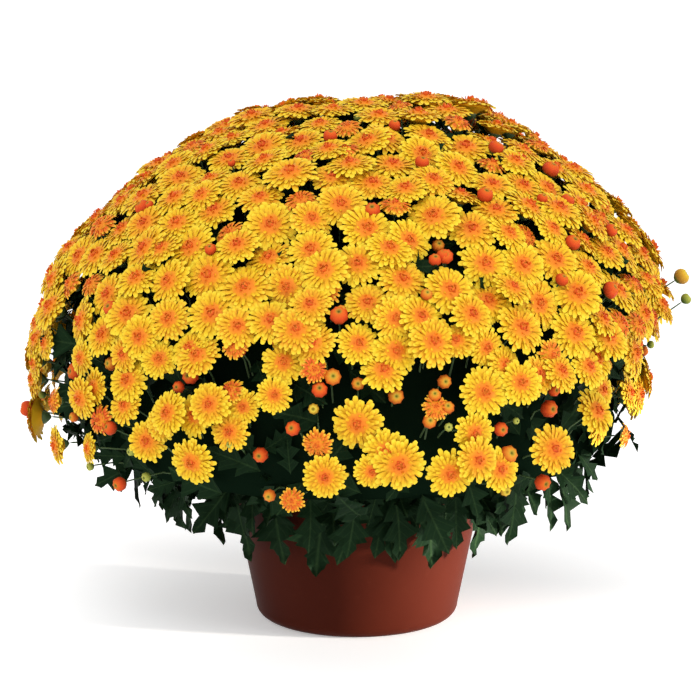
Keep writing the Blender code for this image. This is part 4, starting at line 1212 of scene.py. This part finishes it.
# %% Buds seen on the front: azimuth, elevation, kind, radius and stand-out in millimetres
SEEN_BUDS = np.array([
    (-118, 12, 0, 7.5, 0), (-120, 10, 0, 5.3, 0), (-122, 8, 1, 5.3, 0), (-104, 19, 0, 7.0, 0),
    (-110, 17, 0, 8.8, 0), (-96, 11, 0, 6.9, 0), (-94, 13, 1, 7.4, 0), (-97, 8, 2, 4.8, 0),
    (-100, 5, 0, 6.5, 0), (-133, 2, 0, 6.3, 0), (-131, -2, 3, 4.1, 0), (-132, -4, 3, 4.5, 0),
    (-141, -6, 3, 3.7, 0), (-134, -8, 0, 6.8, 0), (-134, -10, 3, 4.6, 0), (-128, -6, 3, 4.5, 0),
    (-104, -6, 1, 5.7, 0), (-143, 2, 1, 4.6, 0), (-148, 9, 0, 8.4, 0), (-183, -4, 0, 8.1, 14),
    (-136, 12, 1, 6.4, 0), (-110, 2, 3, 3.5, 0), (-84, 10, 1, 6.9, 0), (-90, 12, 1, 5.6, 0),
    (-78, 17, 1, 5.2, 0), (-76, 12, 1, 6.5, 0), (-76, 8, 1, 5.7, 0), (-79, 6, 1, 6.1, 0),
    (-78, 10, 1, 5.7, 0), (-83, 8, 2, 4.8, 0), (-76, 5, 3, 3.9, 0), (-82, -3, 2, 4.8, 0),
    (-84, -4, 3, 2.2, 0), (-67, 4, 0, 6.6, 0), (-56, 6, 0, 8.0, 0), (-57, 4, 0, 5.8, 0),
    (-55, 9, 0, 5.4, 0), (-58, -5, 0, 7.6, 0), (-57, -8, 0, 6.3, 0), (-66, -6, 2, 4.9, 0),
    (-64, 5, 3, 3.1, 0), (-1, 9, 3, 4.0, 8), (-12, 12, 0, 8.8, 0), (-3, 20, 2, 7.6, 26),
    (-2, 16, 3, 5.2, 31), (-66, 0, 1, 7.9, 0), (-25, 18, 1, 3.8, 0), (-38, 58, 0, 7.1, 10),
    (-44, 54, 1, 5.1, 10), (-32, 52, 0, 6.6, 10), (-42, 46, 0, 6.5, 10), (-38, 46, 0, 5.1, 10),
    (-25, 44, 0, 7.6, 10), (-61, 45, 0, 7.3, 10), (-33, 35, 0, 6.1, 10), (-47, 34, 0, 7.3, 10),
    (-70, 32, 0, 6.2, 10), (-48, 26, 0, 5.9, 10), (-36, 28, 0, 5.6, 10), (-37, 22, 0, 7.4, 10),
    (-76, 33, 0, 6.6, 10), (-82, 30, 0, 5.7, 10), (-86, 38, 0, 7.1, 10), (-150, 36, 0, 7.5, 10),
    (-141, 38, 0, 4.6, 10), (-120, 33, 0, 5.4, 10), (-140, 22, 0, 6.9, 10), (-94, 28, 1, 4.4, 10),
    (-94, 26, 0, 7.9, 10), (-74, 62, 0, 5.6, 10), (-70, 58, 0, 6.5, 10), (-96, 66, 0, 6.5, 10),
    (-80, 24, 1, 5.3, 10), (-126, 48, 0, 3.7, 10),
])
SAME_BUD = math.radians(2.5)
MORE_BUDS = 14
GAP_TRIES = 60
GAP_SEARCH = 0.045
HIGH_BUDS = 21
BUD_TRIES = 3000
BUD_ROOM = 0.0215
BUD_OUTSIDE = 0.034
BUD_APART = 0.08
LOWEST_BUD = -0.1
BUD_UPWARDS = (0, 0, 0.35)
BUD_LEAN = 0.15
KIND_SHARES = (0.25, 0.30, 0.20, 0.25)
KIND_RADII = np.array([0.0068, 0.0058, 0.0048, 0.0038])


def angles_between(ways, others):
    """Angle in radians between each of some unit vectors and each of others."""
    return np.arccos(np.clip(ways @ others.T, -1, 1))


def into_gaps(ways, rng):
    """Each direction moved a few degrees, to the place near it that is furthest from any bloom's middle."""
    near = unit(ways[:, None] + rng.normal(0, GAP_SEARCH, (len(ways), GAP_TRIES, 3)))
    far = from_blooms(core_at(near, -BUD_OUTSIDE)).min(axis=2)
    return near[np.arange(len(ways)), far.argmax(axis=1)]


def strewn_buds(rng):
    """Directions between the blooms on the plant's back: far enough from any bloom's middle."""
    azimuths = rng.uniform(0, 2 * math.pi, BUD_TRIES)
    ways = directions(azimuths, np.arcsin(rng.uniform(LOWEST_BUD, 1, BUD_TRIES)))
    far = from_blooms(core_at(ways, -BUD_OUTSIDE)).min(axis=1)
    ways = ways[(far > BUD_ROOM) & (ways[:, 1] > 0)]
    alone = ~np.tril(angles_between(ways, ways) < BUD_APART, -1).any(axis=1)
    return ways[alone][:MORE_BUDS]


rng = np.random.default_rng(17)
seen_ways = directions(*np.radians(SEEN_BUDS[:, :2]).T)
high = SEEN_BUDS[:, 1] > HIGH_BUDS
seen_ways[high] = into_gaps(seen_ways[high], np.random.default_rng(19))
gap = angles_between(unit(bud_rows[:, :3] - DOME_MIDDLE), seen_ways)
kinds = rng.choice(4, len(bud_rows), p=KIND_SHARES)
radii = KIND_RADII[kinds]
same = gap.min(axis=1) < SAME_BUD
seen_kinds = SEEN_BUDS[:, 2].astype(int)
seen_radii, standing = 0.001 * SEEN_BUDS[:, 3:].T
nearest = gap.argmin(axis=1)[same]
kinds[same], radii[same] = seen_kinds[nearest], seen_radii[nearest]
bud_rows[:, 6] = radii * rng.uniform(0.96, 1.04, len(bud_rows))

left = gap.min(axis=0) >= SAME_BUD
strewn = strewn_buds(rng)
strewn_kinds = rng.choice(4, len(strewn), p=KIND_SHARES)
ways = np.concatenate([seen_ways[left], strewn])
radii = np.concatenate([seen_radii[left], KIND_RADII[strewn_kinds]])
standing = np.concatenate([standing[left], np.zeros(len(strewn))])
spots = core_at(ways, -BUD_OUTSIDE) + standing[:, None] * ways
axes = unit(ways + BUD_UPWARDS + rng.normal(0, BUD_LEAN, ways.shape))
bud_rows = np.concatenate([bud_rows, np.column_stack([spots, axes, radii, 0 * radii])])
kinds = np.concatenate([kinds, seen_kinds[left], strewn_kinds])
print("buds added:", len(ways), "of them seen on the front:", int(left.sum()))

# %% Build stems, stalks and cups
STEM_COUNT = 5
STEM_RING = 0.042
STEM_LEAN = 0.030
FIRST_STEM = 0.4
STEM_RADIUS = 0.0050
STEM_TOP = 0.200
STEM_DEPTH = 0.045
STEM_SIDES = 16
STEM_PLACES = np.linspace(0.02, 0.98, 8)
BLOOM_STALK, BLOOM_DROP = 0.0008, 0.22
BUD_STALK, BUD_DROP = 0.0007, 0.12

rng = np.random.default_rng(13)
turn = 2 * math.pi * np.arange(STEM_COUNT) / STEM_COUNT + FIRST_STEM
around = np.stack([np.cos(turn), np.sin(turn), 0 * turn], axis=1)
stem_root = STEM_RING * around + (0, 0, SOIL_TOP - STEM_DEPTH)
stem_end = (STEM_RING + STEM_LEAN) * around + (0, 0, STEM_TOP)
stem_bend = (stem_root + stem_end) / 2 + 0.002 * around
handles = stem_root, stem_bend, stem_end
stems = stalk_bodies(handles, STEM_RADIUS, 0.9 * STEM_RADIUS, STEM_SIDES, STEM_PLACES)

feet = every_bloom[:, :3] - 0.57 * every_bloom[:, 6:7] * every_bloom[:, 3:6]
handles = stalk_handles(feet, every_bloom[:, 3:6], BLOOM_DROP, rng)
bloom_stalks = stalk_bodies(handles, 1.5 * BLOOM_STALK, BLOOM_STALK, STALK_SIDES, STALK_PLACES)
feet = bud_rows[:, :3] - 0.9 * bud_rows[:, 6:7] * bud_rows[:, 3:6]
handles = stalk_handles(feet, bud_rows[:, 3:6], BUD_DROP, rng)
bud_stalks = stalk_bodies(handles, 1.6 * BUD_STALK, BUD_STALK, STALK_SIDES, STALK_PLACES)
stalk_parts = [stems, bloom_stalks, bud_stalks, cups]

stalk_green = Finish("stalks", roughness=0.5, specular_ior_level=0.25)
streaks = stalk_green.noise(90.0, 3.0, 0.6)
stalk_green.set("Base Color", stalk_green.mix(streaks, (0.024, 0.054, 0.016), (0.075, 0.120, 0.040)))
stalks = put_mesh("stems_and_stalks", np.concatenate([points for _, points in stalk_parts]),
                  stack_faces([part for part, _ in stalk_parts]), stalk_green.material)
made.append(dress(stalks, "leaf", "leafy_stems"))

# %% [markdown]
# A bud is a ball of rolled petals. The tips of the rolled petals meet round a small green dimple on
# top, and a cup of green scales holds the ball from below. The four kinds of buds differ only in size
# and in where they read their colour on a strip of four.

# %% Buds
BUD_SIDES = 16
RIDGE = 0.055
BUD_PROFILE = np.array([(0.0, -1.05), (0.38, -0.96), (0.72, -0.70), (0.95, -0.30), (1.0, 0.08),
                        (0.91, 0.42), (0.70, 0.68), (0.44, 0.82), (0.24, 0.76), (0.0, 0.62)])
KIND_PLACES = np.array([0.06, 0.35, 0.65, 0.94])
KIND_SPREAD = 0.04

bud_part, bud_points = turned_bodies(bud_rows, BUD_PROFILE[None], BUD_SIDES)
ridges = np.tile(np.array([1, -1.0]), BUD_SIDES // 2)
upper = np.clip((BUD_PROFILE[1:-1, 1] + 0.6) / 0.3, 0, 1)
swell = join_bodies(np.zeros((1, 1)), (upper[:, None] * ridges)[None, :, :, None], np.zeros((1, 1))).ravel()
middles = np.repeat(bud_rows[:, :3], len(swell), axis=0)
bud_points = middles + (bud_points - middles) * (1 + RIDGE * np.tile(swell, len(bud_rows)))[:, None]
spots = turned_spots(KIND_SPREAD * np.cos(full_turn(BUD_SIDES)), np.linspace(0.02, 0.98, len(BUD_PROFILE)))
strip = np.stack([KIND_PLACES[kinds], 0 * kinds], axis=1)
bud_spots = (strip[:, None] + spots).reshape(-1, 2)

BUD_COLOURS = (
    ((0.22, (0.03, 0.07, 0.02)), (0.30, (0.34, 0.04, 0.008)), (0.55, (0.56, 0.055, 0.009)),
     (0.76, (0.64, 0.12, 0.012)), (0.86, (0.42, 0.20, 0.02)), (0.95, (0.08, 0.08, 0.01))),
    ((0.22, (0.04, 0.09, 0.03)), (0.30, (0.36, 0.07, 0.010)), (0.55, (0.58, 0.12, 0.012)),
     (0.76, (0.62, 0.26, 0.02)), (0.86, (0.44, 0.30, 0.03)), (0.95, (0.12, 0.12, 0.01))),
    ((0.22, (0.05, 0.10, 0.03)), (0.32, (0.28, 0.14, 0.02)), (0.55, (0.52, 0.28, 0.02)),
     (0.76, (0.66, 0.48, 0.05)), (0.86, (0.34, 0.26, 0.02)), (0.95, (0.20, 0.13, 0.01))),
    ((0.22, (0.04, 0.08, 0.02)), (0.34, (0.14, 0.18, 0.03)), (0.55, (0.30, 0.32, 0.05)),
     (0.78, (0.42, 0.42, 0.08)), (0.88, (0.16, 0.18, 0.03)), (0.97, (0.04, 0.06, 0.02))))
rolled = Finish("buds", roughness=0.55, specular_ior_level=0.1)
kind, height = rolled.map()
colour = rolled.ramp(height, BUD_COLOURS[0])
for number, stops in enumerate(BUD_COLOURS[1:]):
    limit = KIND_PLACES[number:number + 2].mean()
    colour = rolled.mix(kind.above(limit), colour, rolled.ramp(height, stops))
rolled.set("Base Color", colour)
buds = put_mesh("buds", bud_points, bud_part[1], rolled.material, bud_spots)
made.append(dress(buds, "petal", "leafy_stems"))
print("triangles in all:", sum(made))
